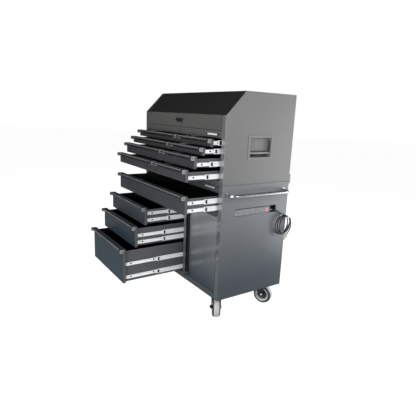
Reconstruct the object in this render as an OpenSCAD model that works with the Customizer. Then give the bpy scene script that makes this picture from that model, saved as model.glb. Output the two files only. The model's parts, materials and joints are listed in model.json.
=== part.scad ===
// Tool chest with a sloping lid, standing on a rolling drawer cabinet.
// Origin on the floor under the middle of the cabinet, +X right, -Y front, +Z up, millimetres.
// The drawers are drawn pulled out in steps, as they stand at rest.

/* [Overall] */
// Width of the chest and the cabinet
body_w = 1000; // [960:1:1080]
// Depth from the front frame to the back panel
body_d = 525; // [525:1:560]
// Height of the cabinet without its casters
cabinet_h = 711; // [700:1:760]
// Height of the chest
chest_h = 529; // [520:1:580]
// Depth of the lid's sloping face
slope_run = 133; // [100:1:170]
// Height of the lid's sloping face
slope_rise = 137; // [110:1:150]
// Floor to the underside of the cabinet
caster_h = 155; // [150:1:180]

/* [Sheet metal] */
// Thickness of the carcass sheet
sheet = 1.5; // [1:0.1:2]
// Thickness of the drawer sheet
drawer_sheet = 1.2; // [0.8:0.1:1.6]
// Face width of the side stiles
stile_w = 34; // [33:1:40]
// Depth of the folds behind stiles and rails
return_d = 24; // [20:1:30]
// Gap round drawer fronts, door and lid
front_gap = 3; // [2.5:0.1:4]
// How far the sheets in the seam under the chest are set back
seam_inset = 2; // [1:0.5:4]
// Gap between welded pieces of the front frame
seam_gap = 0.2; // [0.1:0.1:0.5]

/* [Columns and rails] */
// Right edge of the left column, from the middle
split_x = 88; // [60:1:110]
// Face width of the post between the chest's columns
chest_post_w = 24; // [24:1:40]
// Face width of the post between drawers and door
cabinet_post_w = 54; // [45:1:70]
// Height of the cabinet's bottom rail
cabinet_sill_h = 41; // [35:1:50]
// Height of the rail under the wide drawer
middle_rail_h = 29; // [25:1:32]
// Height of the rail over the wide drawer
top_rail_h = 47; // [42:1:55]
// Height of the chest's bottom rail
chest_sill_h = 26; // [22:1:32]
// Height of the rail under the lid
header_h = 42; // [38:1:50]

/* [Drawers] */
// Front heights in the chest, shallow drawers
shallow_h = 43.5; // [43:0.5:48]
// Front heights in the chest, deeper drawers, which share what the chest's height leaves
medium_h = 68; // [60:1:72]
// Front heights in the cabinet, which share what its height leaves: full-width drawer
wide_h = 106; // [96:1:110]
// Drawers of the left column, from the top down
upper_h = 112; // [106:1:116]
middle_h = 134; // [124:1:138]
lower_h = 224; // [210:1:228]
// Depth of the folded drawer fronts
front_d = 16; // [12:1:18]
// Front edge down to the top of the drawer's side
side_drop = 15; // [12:1:20]
// Underside of the drawer's tray above the front's lower edge
tray_lift = 6; // [4:1:8]
// Width and height of the rolled edge on the drawer's sides
hem = 2.4; // [1.5:0.1:3]
// How far the rows stand open, from the top of the chest down
open_row_1 = 68; // [0:1:400]
open_row_2 = 120; // [0:1:400]
open_row_3 = 172; // [0:1:400]
open_row_4 = 224; // [0:1:400]
// How far the cabinet's drawers stand open, from the top down
open_wide = 224; // [0:1:440]
open_upper = 285; // [0:1:440]
open_middle = 350; // [0:1:440]
open_lower = 430; // [0:1:440]

/* [Pulls] */
// Height of the extruded pull
pull_h = 22; // [18:1:24]
// How far the pull stands out from the front
pull_d = 22; // [18:1:26]
// Height of the pull's finger lip
pull_lip_h = 11; // [9:1:13]
// Thickness of the pull, and radius of its nose
pull_t = 3; // [2:0.5:3.5]
pull_nose = 6; // [4:0.5:7]
// Length of a pull's end cap
cap_l = 18; // [14:1:20]
// Corner chamfer of the end caps
cap_chamfer = 3; // [1:0.5:4]

/* [Slides] */
// Length of the slide members
slide_l = 492; // [490:1:496]
// Room for a slide beside the drawer
slide_room = 13; // [12.6:0.1:14]
// Heights of the inner, middle and outer members
inner_h = 20; // [18:0.5:20]
mid_h = 29; // [28.5:0.5:29]
outer_h = 36; // [36:0.5:38]
// Web thickness of the members
slide_web = 1.2; // [1:0.1:1.4]
// Height of the ball races on inner and middle members
inner_race = 3; // [2:0.1:3.5]
mid_race = 3.8; // [3.4:0.1:3.8]
// Radius of the holes in inner and middle members
inner_hole_r = 2.6; // [2:0.1:3]
mid_hole_r = 4; // [3:0.1:5]
// Slide's ends to the holes in inner and middle members
inner_hole_end = 26; // [20:1:40]
mid_hole_end = 13; // [10:1:20]
// Running gap between the members
race_gap = 0.4; // [0.3:0.05:0.6]
// Slide above the drawer's lower edge, in the chest
chest_slide_z = 22; // [22:0.5:24]
// Lower slide above the lower edge, wide drawer
wide_slide_z = 21; // [21:1:26]
// Lower slide above the lower edge, left column
column_slide_z = 29; // [26:1:36]
// Lower slide above the lower edge, deep drawer
deep_slide_z = 35; // [30:1:40]
// Distance between a drawer's two slides
slide_pitch = 44; // [40:1:46]
// Distance between the two slides of the deep drawer
deep_slide_pitch = 87; // [70:1:100]

/* [Door and lid] */
// Height of the lid's front lip, and its gap to the rail below
lip_h = 84; // [78:1:95]
lid_gap = 2; // [1.5:0.1:4]
// Depth of the door's folded edges
door_d = 18; // [14:1:20]
// Door edge to the pivot, and pivot behind the face
door_pivot_x = 10; // [10:1:14]
door_pivot_y = 6; // [5:0.5:6.5]
// Radius of the door's pivot pins
door_pin_r = 3; // [2.5:0.1:3.2]
// Length of the pivot pins inside the door
door_pin_l = 12; // [8:1:16]
// Depth of the lid's side folds
lid_fold = 14; // [10:1:18]
// Radius of the lid's hinge knuckles
knuckle_r = 4.5; // [4:0.1:5]
// Radius of the lid's hinge pin
lid_pin_r = 2; // [1.8:0.1:2.2]
// Number of hinge knuckles
knuckles = 9; // [7:2:13]
// Running clearance of pins and shafts
run_fit = 0.05; // [0.02:0.01:0.08]
// Width, height and projection of the lid's pull
lid_pull_w = 76; // [60:1:110]
lid_pull_h = 27; // [20:1:28]
lid_pull_d = 10; // [8:1:12]
// Middle of the lid's pull above the lip's edge
lid_pull_up = 40; // [30:1:50]
// Radius of the lock's face and barrel
lock_face_r = 9; // [8.5:0.5:11]
lock_r = 7; // [6:0.5:7.5]

/* [Handles] */
// Radius of the push handle's tube
push_r = 12; // [10:0.5:13]
// Push handle's distance from the side
push_out = 55; // [45:1:65]
// Bend radius of the push handle
push_bend = 32; // [28:1:40]
// Push handle's feet from the front and back edges
push_inset = 38; // [30:1:45]
push_inset_back = 47; // [40:1:55]
// Push handle below the cabinet's top
push_drop = 56; // [45:1:70]
// Outside size of the carry handle's frame
dish_w = 194; // [180:1:210]
dish_h = 145; // [130:1:160]
// Width of the frame round the dish
dish_rim = 16; // [12:1:20]
// Corner radius of the frame
dish_corner = 6; // [3:0.5:8]
// Depth of the dish
dish_d = 27; // [24:1:29]
// Wall of the dish
dish_wall = 2; // [1.5:0.1:2.5]
// Front edge of the chest to the middle of the dish
dish_y = 264; // [250:1:275]
// Chest floor to the middle of the dish
dish_z = 215; // [200:1:230]
// Radius of the handle's grip and pivots
grip_r = 6.5; // [6:0.5:7.5]
bail_pin_r = 3; // [2.5:0.1:3.2]
// Width and thickness of the handle's flat arms
bail_arm_w = 9; // [8:0.5:12]
bail_arm_t = 3; // [2:0.5:4]
// Pivot below the dish's upper edge, and behind the panel's face
pivot_drop = 22; // [18:1:26]
pivot_in = 13; // [12:0.5:14]
// Pivot to grip
bail_drop = 68; // [50:1:70]

/* [Power strip] */
// Length and height of the slot in the side
slot_l = 332; // [320:1:350]
slot_h = 44; // [42:1:50]
// Depth of the bay behind the slot
bay_d = 31; // [30:1:32]
// Front edge of the cabinet to the slot
slot_y = 96; // [80:1:110]
// Underside of the cabinet to the slot
slot_z = 520; // [500:1:530]
// Length and height of the strip
strip_l = 279; // [260:1:285]
strip_h = 38; // [36:1:41]
// Strip's face behind the panel's face
strip_recess = 3; // [2:0.5:5]
// Size and depth of the outlet faces
outlet_w = 34; // [30:1:38]
outlet_h = 30; // [26:1:32]
outlet_d = 1.5; // [1:0.1:2]
// Number of outlets
outlets = 5; // [4:1:6]
// Width, length and spacing of an outlet's two slots
blade_w = 2.4; // [2:0.1:3]
blade_l = 8; // [7:0.5:9]
blade_gap = 12.7; // [12:0.1:14]
// Radius of an outlet's round hole, and depth of hole and slots
earth_r = 2.5; // [2:0.1:3]
socket_d = 9; // [6:0.5:12]
// Size of the rocker switch
rocker_w = 23; // [20:1:26]
rocker_h = 22; // [18:1:26]
// Depth of the rocker's pocket
rocker_pocket = 9; // [8:0.5:10]

/* [Casters] */
// Radius and width of the wheels
wheel_r = 63; // [60:1:63]
wheel_w = 50; // [44:1:52]
// Kingpins from the cabinet's right side, and from front and back
caster_x = 116; // [100:1:120]
caster_y = 80; // [75:1:90]
// Thickness of the tyre
tyre_t = 17; // [14:1:20]
// Radius of the wheel's hub
hub_r = 13; // [11:0.5:15]
// Offset of the wheel behind the kingpin
trail = 34; // [30:1:38]
// Which way the swivel casters point at rest
front_swivel = -32; // [-90:1:90]
rear_swivel = 26; // [-90:1:90]
// Size and thickness of the caster plates
plate_l = 104; // [96:1:110]
plate_w = 86; // [80:1:92]
plate_t = 3.5; // [3:0.5:4]
// Thickness of the fork's cheeks
cheek = 3; // [2.5:0.5:4]
// Radius of the axle and of the kingpin
axle_r = 6; // [5:0.5:7]
kingpin_r = 8; // [7:0.5:9]

/* [Cord] */
// Diameter of the cord
cord_d = 7.2; // [6:0.1:7.2]
// Number of hanging loops
loops = 4; // [3:1:4]
// Step from loop to loop
loop_pitch = 8.2; // [8.1:0.1:8.5]

/* [Hidden] */
$fn = 48;
front_y = -body_d / 2;
back_y = body_d / 2;
base_z = caster_h;
seam_z = base_z + cabinet_h;
top_z = seam_z + chest_h;
slope_z = top_z - slope_rise;
half_w = body_w / 2;
frame_d = body_d - sheet;
open_x = half_w - stile_w;
skew = slope_rise / slope_run;
through = 1;

// Edges of the columns' fronts
left_x0 = -open_x + front_gap;
left_x1 = split_x - front_gap;
right_x0 = split_x + chest_post_w + front_gap;
right_x1 = open_x - front_gap;
door_x0 = split_x + cabinet_post_w + front_gap;

// Heights of the fronts, with their share of what the rails and gaps leave
cabinet_rails = cabinet_sill_h + middle_rail_h + top_rail_h + 6 * front_gap;
cabinet_share = (cabinet_h - cabinet_rails - wide_h - upper_h - middle_h - lower_h) / 4;
wide_front = wide_h + cabinet_share;
upper_front = upper_h + cabinet_share;
middle_front = middle_h + cabinet_share;
lower_front = lower_h + cabinet_share;
chest_rails = slope_rise + lip_h + lid_gap + header_h + chest_sill_h + 5 * front_gap;
medium_front = (chest_h - chest_rails - 2 * shallow_h - 2 * medium_h) / 2 + medium_h;

// Lower edges of the fronts, from the floor up
lower_z = base_z + cabinet_sill_h + front_gap;
middle_z = lower_z + lower_front + front_gap;
upper_z = middle_z + middle_front + front_gap;
middle_rail_z = upper_z + upper_front + front_gap;
wide_z = middle_rail_z + middle_rail_h + front_gap;
top_rail_z = wide_z + wide_front + front_gap;
row_4_z = seam_z + chest_sill_h + front_gap;
row_3_z = row_4_z + medium_front + front_gap;
row_2_z = row_3_z + medium_front + front_gap;
row_1_z = row_2_z + shallow_h + front_gap;
header_z = row_1_z + shallow_h + front_gap;
lip_z = header_z + header_h + lid_gap;
door_h = middle_rail_z - front_gap - lower_z;

// Each drawer: name, left edge, right edge, lower edge, height, opening, slide heights
chest_slides = [chest_slide_z];
wide_slides = [wide_slide_z, wide_slide_z + slide_pitch];
column_slides = [column_slide_z, column_slide_z + slide_pitch];
deep_slides = [deep_slide_z, deep_slide_z + deep_slide_pitch];
DRAWERS = [
    ["chest_left_1", left_x0, left_x1, row_1_z, shallow_h, open_row_1, chest_slides],
    ["chest_left_2", left_x0, left_x1, row_2_z, shallow_h, open_row_2, chest_slides],
    ["chest_left_3", left_x0, left_x1, row_3_z, medium_front, open_row_3, chest_slides],
    ["chest_left_4", left_x0, left_x1, row_4_z, medium_front, open_row_4, chest_slides],
    ["chest_right_1", right_x0, right_x1, row_1_z, shallow_h, open_row_1, chest_slides],
    ["chest_right_2", right_x0, right_x1, row_2_z, shallow_h, open_row_2, chest_slides],
    ["chest_right_3", right_x0, right_x1, row_3_z, medium_front, open_row_3, chest_slides],
    ["chest_right_4", right_x0, right_x1, row_4_z, medium_front, open_row_4, chest_slides],
    ["cabinet_wide", left_x0, right_x1, wide_z, wide_front, open_wide, wide_slides],
    ["cabinet_upper", left_x0, left_x1, upper_z, upper_front, open_upper, column_slides],
    ["cabinet_middle", left_x0, left_x1, middle_z, middle_front, open_middle, column_slides],
    ["cabinet_lower", left_x0, left_x1, lower_z, lower_front, open_lower, deep_slides],
];
function drawer_node(d) = str(d[0], "_drawer");
function slide_node(d) = str(d[0], "_mid_slides");

graphite = "#5a5d62";
dark_paint = "#3b3d41";
black = "#1c1c1e";
zinc = "#d6d8da";
pale = "#a9abae";
steel = "#8f9296";

// Cabinet carcass

// Lipped channel of a cabinet side, open to the inside between its two posts
module side_channel(h) {
    linear_extrude(h) difference() {
        translate([open_x, front_y]) square([stile_w, frame_d]);
        translate([open_x + sheet, front_y + sheet])
            square([stile_w - 2 * sheet, frame_d - 2 * sheet]);
        translate([open_x - through, front_y + return_d])
            square([sheet + 2 * through, frame_d - 2 * return_d]);
    }
}

module cabinet_side() {
    translate([0, 0, base_z + sheet]) side_channel(cabinet_h - 2 * sheet);
}

module cabinet_floor() {
    color(graphite) translate([-half_w, front_y, base_z]) cube([body_w, body_d, sheet]);
}

// Sheet in the seam between cabinet and chest, set back from the sides and the front
module seam_sheet(z) {
    translate([seam_inset - half_w, front_y + seam_inset, z])
        cube([body_w - 2 * seam_inset, body_d - seam_inset, sheet]);
}

module cabinet_top() {
    color(graphite) seam_sheet(seam_z - sheet);
}

module cabinet_left_side() {
    color(graphite) mirror([1, 0, 0]) cabinet_side();
}

bay_y = front_y + slot_y;
bay_z = base_z + slot_z;

module cabinet_right_side() {
    color(graphite) difference() {
        union() {
            cabinet_side();
            translate([half_w - bay_d - sheet, bay_y - sheet, bay_z - sheet])
                cube([bay_d + sheet, slot_l + 2 * sheet, slot_h + 2 * sheet]);
        }
        translate([half_w - bay_d, bay_y, bay_z]) cube([bay_d + through, slot_l, slot_h]);
    }
}

module cabinet_back() {
    color(graphite) translate([-half_w, back_y - sheet, base_z + sheet])
        cube([body_w, sheet, cabinet_h - 2 * sheet]);
}

// Folded rail, open to the back
module rail(x0, x1, z0, z1) {
    translate([x0, front_y, z0]) difference() {
        cube([x1 - x0, return_d, z1 - z0]);
        translate([-through, sheet, sheet])
            cube([x1 - x0 + 2 * through, return_d, z1 - z0 - 2 * sheet]);
    }
}

module cabinet_front_rails() {
    color(graphite) {
        rail(-open_x, open_x, base_z + sheet, base_z + cabinet_sill_h);
        rail(-open_x, open_x, middle_rail_z, middle_rail_z + middle_rail_h);
        rail(-open_x, open_x, top_rail_z, seam_z - sheet);
    }
}

// Hollow post with two full-depth walls, open to the back
module post(x0, w, z0, z1) {
    translate([x0, front_y, z0]) linear_extrude(z1 - z0) difference() {
        square([w, frame_d]);
        translate([sheet, sheet]) square([w - 2 * sheet, frame_d]);
    }
}

module cabinet_divider() {
    color(graphite) difference() {
        post(split_x, cabinet_post_w, base_z + sheet, middle_rail_z);
        translate([split_x - through, front_y - through, base_z])
            cube([cabinet_post_w + 2 * through, return_d + through + seam_gap,
                  cabinet_sill_h + seam_gap]);
    }
}

// Chest carcass

// Side outline of the chest, drawn in by a distance all round
function drawn_in(i) = [
    [front_y + i, seam_z + sheet + i],
    [front_y + i, slope_z + i * skew - i * sqrt(1 + skew * skew)],
    [front_y + (slope_rise - i + i * sqrt(1 + skew * skew)) / skew, top_z - i],
    [back_y - sheet - i, top_z - i],
    [back_y - sheet - i, seam_z + sheet + i]];

// Extrudes a Y-Z outline along X, from x0 over a length
module along_x(x0, l) {
    translate([x0, 0, 0]) rotate([90, 0, 90]) linear_extrude(l) children();
}

// A rectangle on the side, given by its middle, with square corners
module side_window(y, z, w, h) {
    translate([y - w / 2, z - h / 2]) square([w, h]);
}

// The same with rounded corners
module round_window(y, z, w, h, r) {
    side_window(y, z, w - 2 * r, h);
    side_window(y, z, w, h - 2 * r);
    for (a = [-1, 1], b = [-1, 1])
        translate([y + a * (w / 2 - r), z + b * (h / 2 - r)]) circle(r = r);
}

dish_mid_y = front_y + dish_y;
dish_mid_z = seam_z + dish_z;

module chest_side() {
    difference() {
        along_x(open_x, stile_w) polygon(drawn_in(0));
        along_x(open_x + sheet, stile_w - 2 * sheet) polygon(drawn_in(sheet));
        along_x(open_x - through, sheet + 2 * through) polygon(drawn_in(return_d));
        along_x(half_w - sheet - through, sheet + 2 * through)
            side_window(dish_mid_y, dish_mid_z, dish_w - 2 * dish_rim + 2 * dish_wall + 2 * seam_gap,
                        dish_h - 2 * dish_rim + 2 * dish_wall + 2 * seam_gap);
    }
}

module chest_left_side() {
    color(graphite) mirror([1, 0, 0]) chest_side();
}

module chest_right_side() {
    color(graphite) chest_side();
}

// Floor of the chest and floor of the tray under the lid
module chest_floors() {
    color(graphite) {
        seam_sheet(seam_z);
        translate([-open_x, front_y + sheet, header_z + sheet])
            cube([2 * open_x, frame_d - sheet, sheet]);
    }
}

// Lid hinge along the top of the back: knuckles of lid and back take turns on one pin
hinge_y = back_y + knuckle_r;
hinge_z = top_z - knuckle_r;
lid_w = 2 * (open_x - front_gap);
knuckle_l = lid_w / knuckles;

module knuckle_row(first) {
    for (k = [first : 2 : knuckles - 1])
        translate([-lid_w / 2 + k * knuckle_l + seam_gap, hinge_y, hinge_z])
            rotate([0, 90, 0]) cylinder(r = knuckle_r, h = knuckle_l - 2 * seam_gap);
}

module knuckle_bore() {
    translate([-half_w, hinge_y, hinge_z])
        rotate([0, 90, 0]) cylinder(r = lid_pin_r + run_fit, h = body_w);
}

leaf_h = 26;

module chest_back() {
    color(graphite) difference() {
        union() {
            translate([-half_w, back_y - sheet, seam_z + sheet])
                cube([body_w, sheet, hinge_z - seam_z - sheet]);
            for (k = [1 : 2 : knuckles - 1])
                translate([-lid_w / 2 + k * knuckle_l + seam_gap, back_y - sheet / 2, hinge_z - leaf_h])
                    cube([knuckle_l - 2 * seam_gap, sheet * 1.5, leaf_h]);
            knuckle_row(1);
        }
        knuckle_bore();
    }
}

lock_z = header_z + header_h / 2 + 2;

module chest_front_frame() {
    color(graphite) {
        rail(-open_x, open_x, seam_z + sheet, row_4_z - front_gap);
        difference() {
            rail(-open_x, open_x, header_z, header_z + header_h);
            translate([0, front_y - through, lock_z]) rotate([-90, 0, 0])
                cylinder(r = lock_r + run_fit, h = sheet + 2 * through);
        }
        difference() {
            post(split_x, chest_post_w, seam_z + sheet + seam_gap, header_z - seam_gap);
            translate([split_x - through, front_y - through, seam_z])
                cube([chest_post_w + 2 * through, return_d + through + seam_gap,
                      row_4_z - front_gap - seam_z + seam_gap]);
        }
    }
}

// Angle plates that join chest and cabinet at the back, each with a lip along its outer edge
joint_plate_w = 60;
joint_plate_h = 62;
joint_plate_t = 2.5;
joint_plate_drop = 17;
joint_lip = 10;

module joining_plates() {
    color(steel) for (s = [0, 1]) mirror([s, 0, 0])
        translate([half_w - joint_plate_w, back_y, seam_z - joint_plate_drop]) {
            cube([joint_plate_w, joint_plate_t, joint_plate_h]);
            translate([joint_plate_w - joint_plate_t, 0, 0])
                cube([joint_plate_t, joint_lip, joint_plate_h]);
        }
}

// Telescopic slides: three nested channels, drawn from the drawer's side outwards

// A channel that opens towards the drawer, its web at distance u0
module channel(h, race, u_lip, u0) {
    difference() {
        translate([u_lip, -h / 2]) square([u0 + slide_web - u_lip, h]);
        translate([u_lip - through, -h / 2 + race])
            square([u0 - u_lip + through, h - 2 * race]);
    }
}

inner_u = seam_gap / 2;
inner_lip = 5.4;
mid_web_u = inner_lip + race_gap;
mid_lip = max(inner_u + slide_web, hem) + 2 * race_gap;
outer_web_u = slide_room - slide_web;
lip_step = 1.5;
outer_lip = mid_lip + lip_step;
slide_start = 2;
slide_y0 = front_d + slide_start;

module inner_profile() {
    difference() {
        translate([inner_u, -inner_h / 2]) square([inner_lip - inner_u, inner_h]);
        translate([inner_u + slide_web, -inner_h / 2 + inner_race])
            square([inner_lip, inner_h - 2 * inner_race]);
    }
}

module mid_profile() {
    channel(mid_h, mid_race, mid_lip, mid_web_u);
}

module outer_profile() {
    channel(outer_h, (outer_h - mid_h) / 2 - race_gap, outer_lip, outer_web_u);
}

// Places a slide member on both sides of a drawer, at each of its slides
module each_slide(d, opened) {
    tray_x = [d[1] - front_gap + slide_room, d[2] + front_gap - slide_room];
    for (z = d[6])
        for (side = [0, 1])
            translate([tray_x[side], front_y + slide_y0 - opened, d[3] + z])
                mirror([1 - side, 0, 0]) rotate([90, 0, 0]) mirror([0, 0, 1]) children();
}

// A member with a hole through its web near each end
module drilled_member(r, end) {
    difference() {
        linear_extrude(slide_l) children();
        for (l = [end, slide_l - end])
            translate([0, 0, l]) rotate([0, 90, 0]) cylinder(r = r, h = slide_room);
    }
}

module slide_rails() {
    color(zinc) for (d = DRAWERS) each_slide(d, 0) linear_extrude(slide_l) outer_profile();
}

module mid_slides(d) {
    color(zinc) each_slide(d, d[5] / 2) drilled_member(mid_hole_r, mid_hole_end) mid_profile();
}

// Drawers

// Tray past the end of its slides
tray_end = 6;

// Profile of the pull: a lip to hook fingers under, with a scooped underside
module pull_profile() {
    back = seam_gap + 0.1;
    nose = [for (a = [0 : 15 : 90])
        [pull_nose - pull_d - pull_nose * sin(a), pull_nose * (cos(a) - 1)]];
    polygon(concat([[-back, 0]], nose,
        [[-pull_d, -pull_lip_h], [pull_t - pull_d, -pull_lip_h], [pull_t - pull_d, -pull_nose],
         [pull_nose - pull_d, -pull_t], [-back - 2 * pull_t, -pull_t],
         [-back - pull_t, -2 * pull_t], [-back - pull_t, -pull_h], [-back, -pull_h]]));
}

module cap_profile() {
    back = seam_gap + 0.1;
    c = cap_chamfer;
    proud = 0.4;
    polygon([[-back, proud], [c - pull_d, proud], [-pull_d - proud, proud - c],
             [-pull_d - proud, c - pull_h], [c - pull_d, -pull_h], [-back, -pull_h]]);
}

// Pull along an edge of length l, with a cap at each end
module pull(l) {
    along_x(cap_l + seam_gap / 2, l - 2 * cap_l - seam_gap) pull_profile();
    for (x = [0, l - cap_l])
        along_x(x, cap_l) cap_profile();
}

module drawer(d) {
    t = drawer_sheet;
    w = d[2] - d[1];
    h = d[4];
    inset = slide_room - front_gap;
    top_slide = d[6][len(d[6]) - 1];
    side_h = max(h - side_drop, top_slide + inner_h / 2 + hem + seam_gap);
    tray_l = slide_l + tray_end;
    translate([d[1], front_y - d[5], d[3]]) {
        color(dark_paint) {
            difference() {
                cube([w, front_d, h]);
                translate([t, t, t]) cube([w - 2 * t, front_d, h - 2 * t]);
            }
            translate([inset, front_d - t, 0]) cube([w - 2 * inset, t, h]);
            translate([inset, front_d - t, tray_lift]) difference() {
                cube([w - 2 * inset, tray_l, side_h - tray_lift]);
                translate([t, t, t])
                    cube([w - 2 * inset - 2 * t, tray_l - 2 * t, side_h]);
            }
            for (x = [inset - hem, w - inset])
                translate([x, front_d - t, side_h - hem]) cube([hem, tray_l, hem]);
        }
        color(black) translate([0, 0, h]) pull(w);
    }
    color(zinc) each_slide(d, d[5]) drilled_member(inner_hole_r, inner_hole_end) inner_profile();
}

// Lid, lock and door

// Folded strip under the lid's outline, of a given thickness
function lid_strip(i) = [
    [front_y, lip_z], [front_y, slope_z], [front_y + slope_run, top_z], [back_y, top_z],
    [back_y, top_z - i],
    [front_y + (slope_rise - i + i * sqrt(1 + skew * skew)) / skew, top_z - i],
    [front_y + i, slope_z + i * skew - i * sqrt(1 + skew * skew)], [front_y + i, lip_z]];

lid_pull_z = lip_z + lid_pull_up;

module lid_pull() {
    tip = 3;
    translate([-lid_pull_w / 2, front_y, lid_pull_z]) along_x(0, lid_pull_w) difference() {
        polygon([[-0.3, lid_pull_h / 2], [tip - lid_pull_d, lid_pull_h / 2],
                 [-lid_pull_d, lid_pull_h / 2 - tip], [-lid_pull_d, 0],
                 [-tip, -lid_pull_h / 2], [-0.3, -lid_pull_h / 2]]);
        translate([-lid_pull_d * 0.62, -lid_pull_h / 2]) circle(r = lid_pull_d * 0.7);
    }
}

module lid() {
    color(black) difference() {
        union() {
            along_x(-lid_w / 2, lid_w) polygon(lid_strip(sheet));
            for (x = [-lid_w / 2, lid_w / 2 - sheet]) along_x(x, sheet) difference() {
                polygon(lid_strip(lid_fold));
                translate([back_y - lid_fold, top_z - lid_fold - through])
                    square([lid_fold + through, lid_fold - sheet + through]);
            }
            for (k = [0 : 2 : knuckles - 1])
                translate([-lid_w / 2 + k * knuckle_l + seam_gap, back_y - sheet, top_z - sheet])
                    cube([knuckle_l - 2 * seam_gap, knuckle_r + sheet, sheet]);
            knuckle_row(0);
        }
        knuckle_bore();
    }
    color(black) lid_pull();
}

module chest_lock() {
    face_t = 2;
    barrel_l = 16;
    cam_l = 15;
    color(steel) translate([0, front_y - face_t - seam_gap, lock_z]) rotate([-90, 0, 0]) {
        difference() {
            cylinder(r = lock_face_r, h = face_t);
            translate([-1, -4, -through]) cube([2, 8, 1 + through]);
        }
        cylinder(r = lock_r, h = face_t + barrel_l);
        translate([-4, -cam_l, face_t + barrel_l - 3]) cube([8, cam_l, 3]);
    }
}

door_axis = [right_x1 - door_pivot_x, front_y + door_pivot_y];

module door() {
    w = right_x1 - door_x0;
    color(graphite) difference() {
        union() {
            translate([door_x0, front_y, lower_z]) difference() {
                cube([w, door_d, door_h]);
                translate([sheet, sheet, sheet]) cube([w - 2 * sheet, door_d, door_h - 2 * sheet]);
            }
            for (z = [lower_z, lower_z + door_h - door_pin_l])
                translate([door_axis[0], door_axis[1], z])
                    cylinder(r = door_pin_r + sheet, h = door_pin_l);
        }
        translate([door_axis[0], door_axis[1], lower_z - through])
            cylinder(r = door_pin_r + run_fit, h = door_h + 2 * through);
    }
    // The same pull as the drawers', upright along the free edge
    color(black) translate([door_x0, front_y, lower_z + door_h]) rotate([0, 90, 0])
        mirror([0, 0, 1]) pull(door_h);
}

module hinge_pins() {
    pin_gap = seam_gap;
    color(steel) {
        translate([-lid_w / 2 + seam_gap, hinge_y, hinge_z])
            rotate([0, 90, 0]) cylinder(r = lid_pin_r, h = lid_w - 2 * seam_gap);
        for (z = [lower_z - front_gap, lower_z + door_h - door_pin_l + pin_gap])
            translate([door_axis[0], door_axis[1], z])
                cylinder(r = door_pin_r, h = door_pin_l + front_gap - pin_gap);
    }
}

// Handles

push_z = seam_z - push_drop;
push_len = body_d - push_inset - push_inset_back;

// Quarter bend of a round rod in the X-Y plane
module rod_bend(r, bend) {
    rotate_extrude(angle = 90) translate([bend, 0]) circle(r = r);
}

module push_handle() {
    foot_r = push_r + 6;
    foot_t = 4;
    straight = push_len - 2 * push_bend;
    color(steel) translate([half_w, front_y + push_inset, push_z]) {
        for (s = [0, 1]) translate([0, s * push_len, 0]) mirror([0, s, 0]) {
            rotate([0, 90, 0]) cylinder(r = foot_r, h = foot_t);
            rotate([0, 90, 0]) cylinder(r = push_r, h = push_out - push_bend);
            translate([push_out - push_bend, push_bend, 0]) rotate([0, 0, -90])
                rod_bend(push_r, push_bend);
        }
        translate([push_out, push_bend, 0]) rotate([-90, 0, 0]) cylinder(r = push_r, h = straight);
    }
}

// Carry handles: a dish let into the chest's side, with a hanging bail
bail_x = half_w - pivot_in;
pivot_z = dish_mid_z + dish_h / 2 - dish_rim - pivot_drop;
dish_in_w = dish_w - 2 * dish_rim;
dish_in_h = dish_h - 2 * dish_rim;
dish_frame_t = 2.5;
// Play of the handle between the dish's walls
bail_play = 0.6;

module dish() {
    difference() {
        union() {
            along_x(half_w + seam_gap, dish_frame_t)
                round_window(dish_mid_y, dish_mid_z, dish_w, dish_h, dish_corner);
            along_x(half_w - dish_d, dish_d + dish_frame_t)
                side_window(dish_mid_y, dish_mid_z, dish_in_w + 2 * dish_wall, dish_in_h + 2 * dish_wall);
        }
        along_x(half_w - dish_d + dish_wall, dish_d + dish_frame_t)
            side_window(dish_mid_y, dish_mid_z, dish_in_w, dish_in_h);
        translate([bail_x, dish_mid_y - dish_w, pivot_z]) rotate([-90, 0, 0])
            cylinder(r = bail_pin_r + run_fit, h = 2 * dish_w);
    }
}

module handle_dishes() {
    color(dark_paint) for (s = [0, 1]) mirror([s, 0, 0]) dish();
}

// Two flat arms on pivots, with a round grip between them
module bail() {
    half = dish_in_w / 2 - bail_play;
    translate([bail_x, dish_mid_y, pivot_z]) {
        for (s = [0, 1]) mirror([0, s, 0]) translate([0, half - bail_arm_t, 0]) rotate([-90, 0, 0]) {
            linear_extrude(bail_arm_t) {
                circle(r = bail_arm_w / 2 + 1.5);
                translate([-bail_arm_w / 2, 0]) square([bail_arm_w, bail_drop]);
                translate([0, bail_drop]) circle(r = grip_r);
            }
            cylinder(r = bail_pin_r, h = bail_arm_t + bail_play + dish_wall);
        }
        translate([0, bail_arm_t - half, -bail_drop]) rotate([-90, 0, 0])
            cylinder(r = grip_r, h = 2 * (half - bail_arm_t));
    }
}

module right_carry_handle() {
    color(pale) bail();
}

module left_carry_handle() {
    color(pale) mirror([1, 0, 0]) bail();
}

// Power strip in its bay, with a rocker switch and a corded end

strip_play = 0.3;
strip_x0 = half_w - bay_d + strip_play;
strip_x1 = half_w - strip_recess;
strip_start = 4;
strip_y0 = bay_y + strip_start;
strip_y1 = strip_y0 + strip_l;
strip_z0 = bay_z + strip_play;
strip_mid_z = strip_z0 + strip_h / 2;
rocker_end = 20;
rocker_y = strip_y1 - rocker_end;
rocker_depth = 4;
rocker_x = strip_x1 - rocker_depth;
rocker_pin_r = 1.5;
rocker_pin_l = 2;
rocker_play = 0.5;
outlet_start = 8;
switch_l = 52;
outlet_pitch = (strip_l - outlet_start - switch_l) / outlets;

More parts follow.
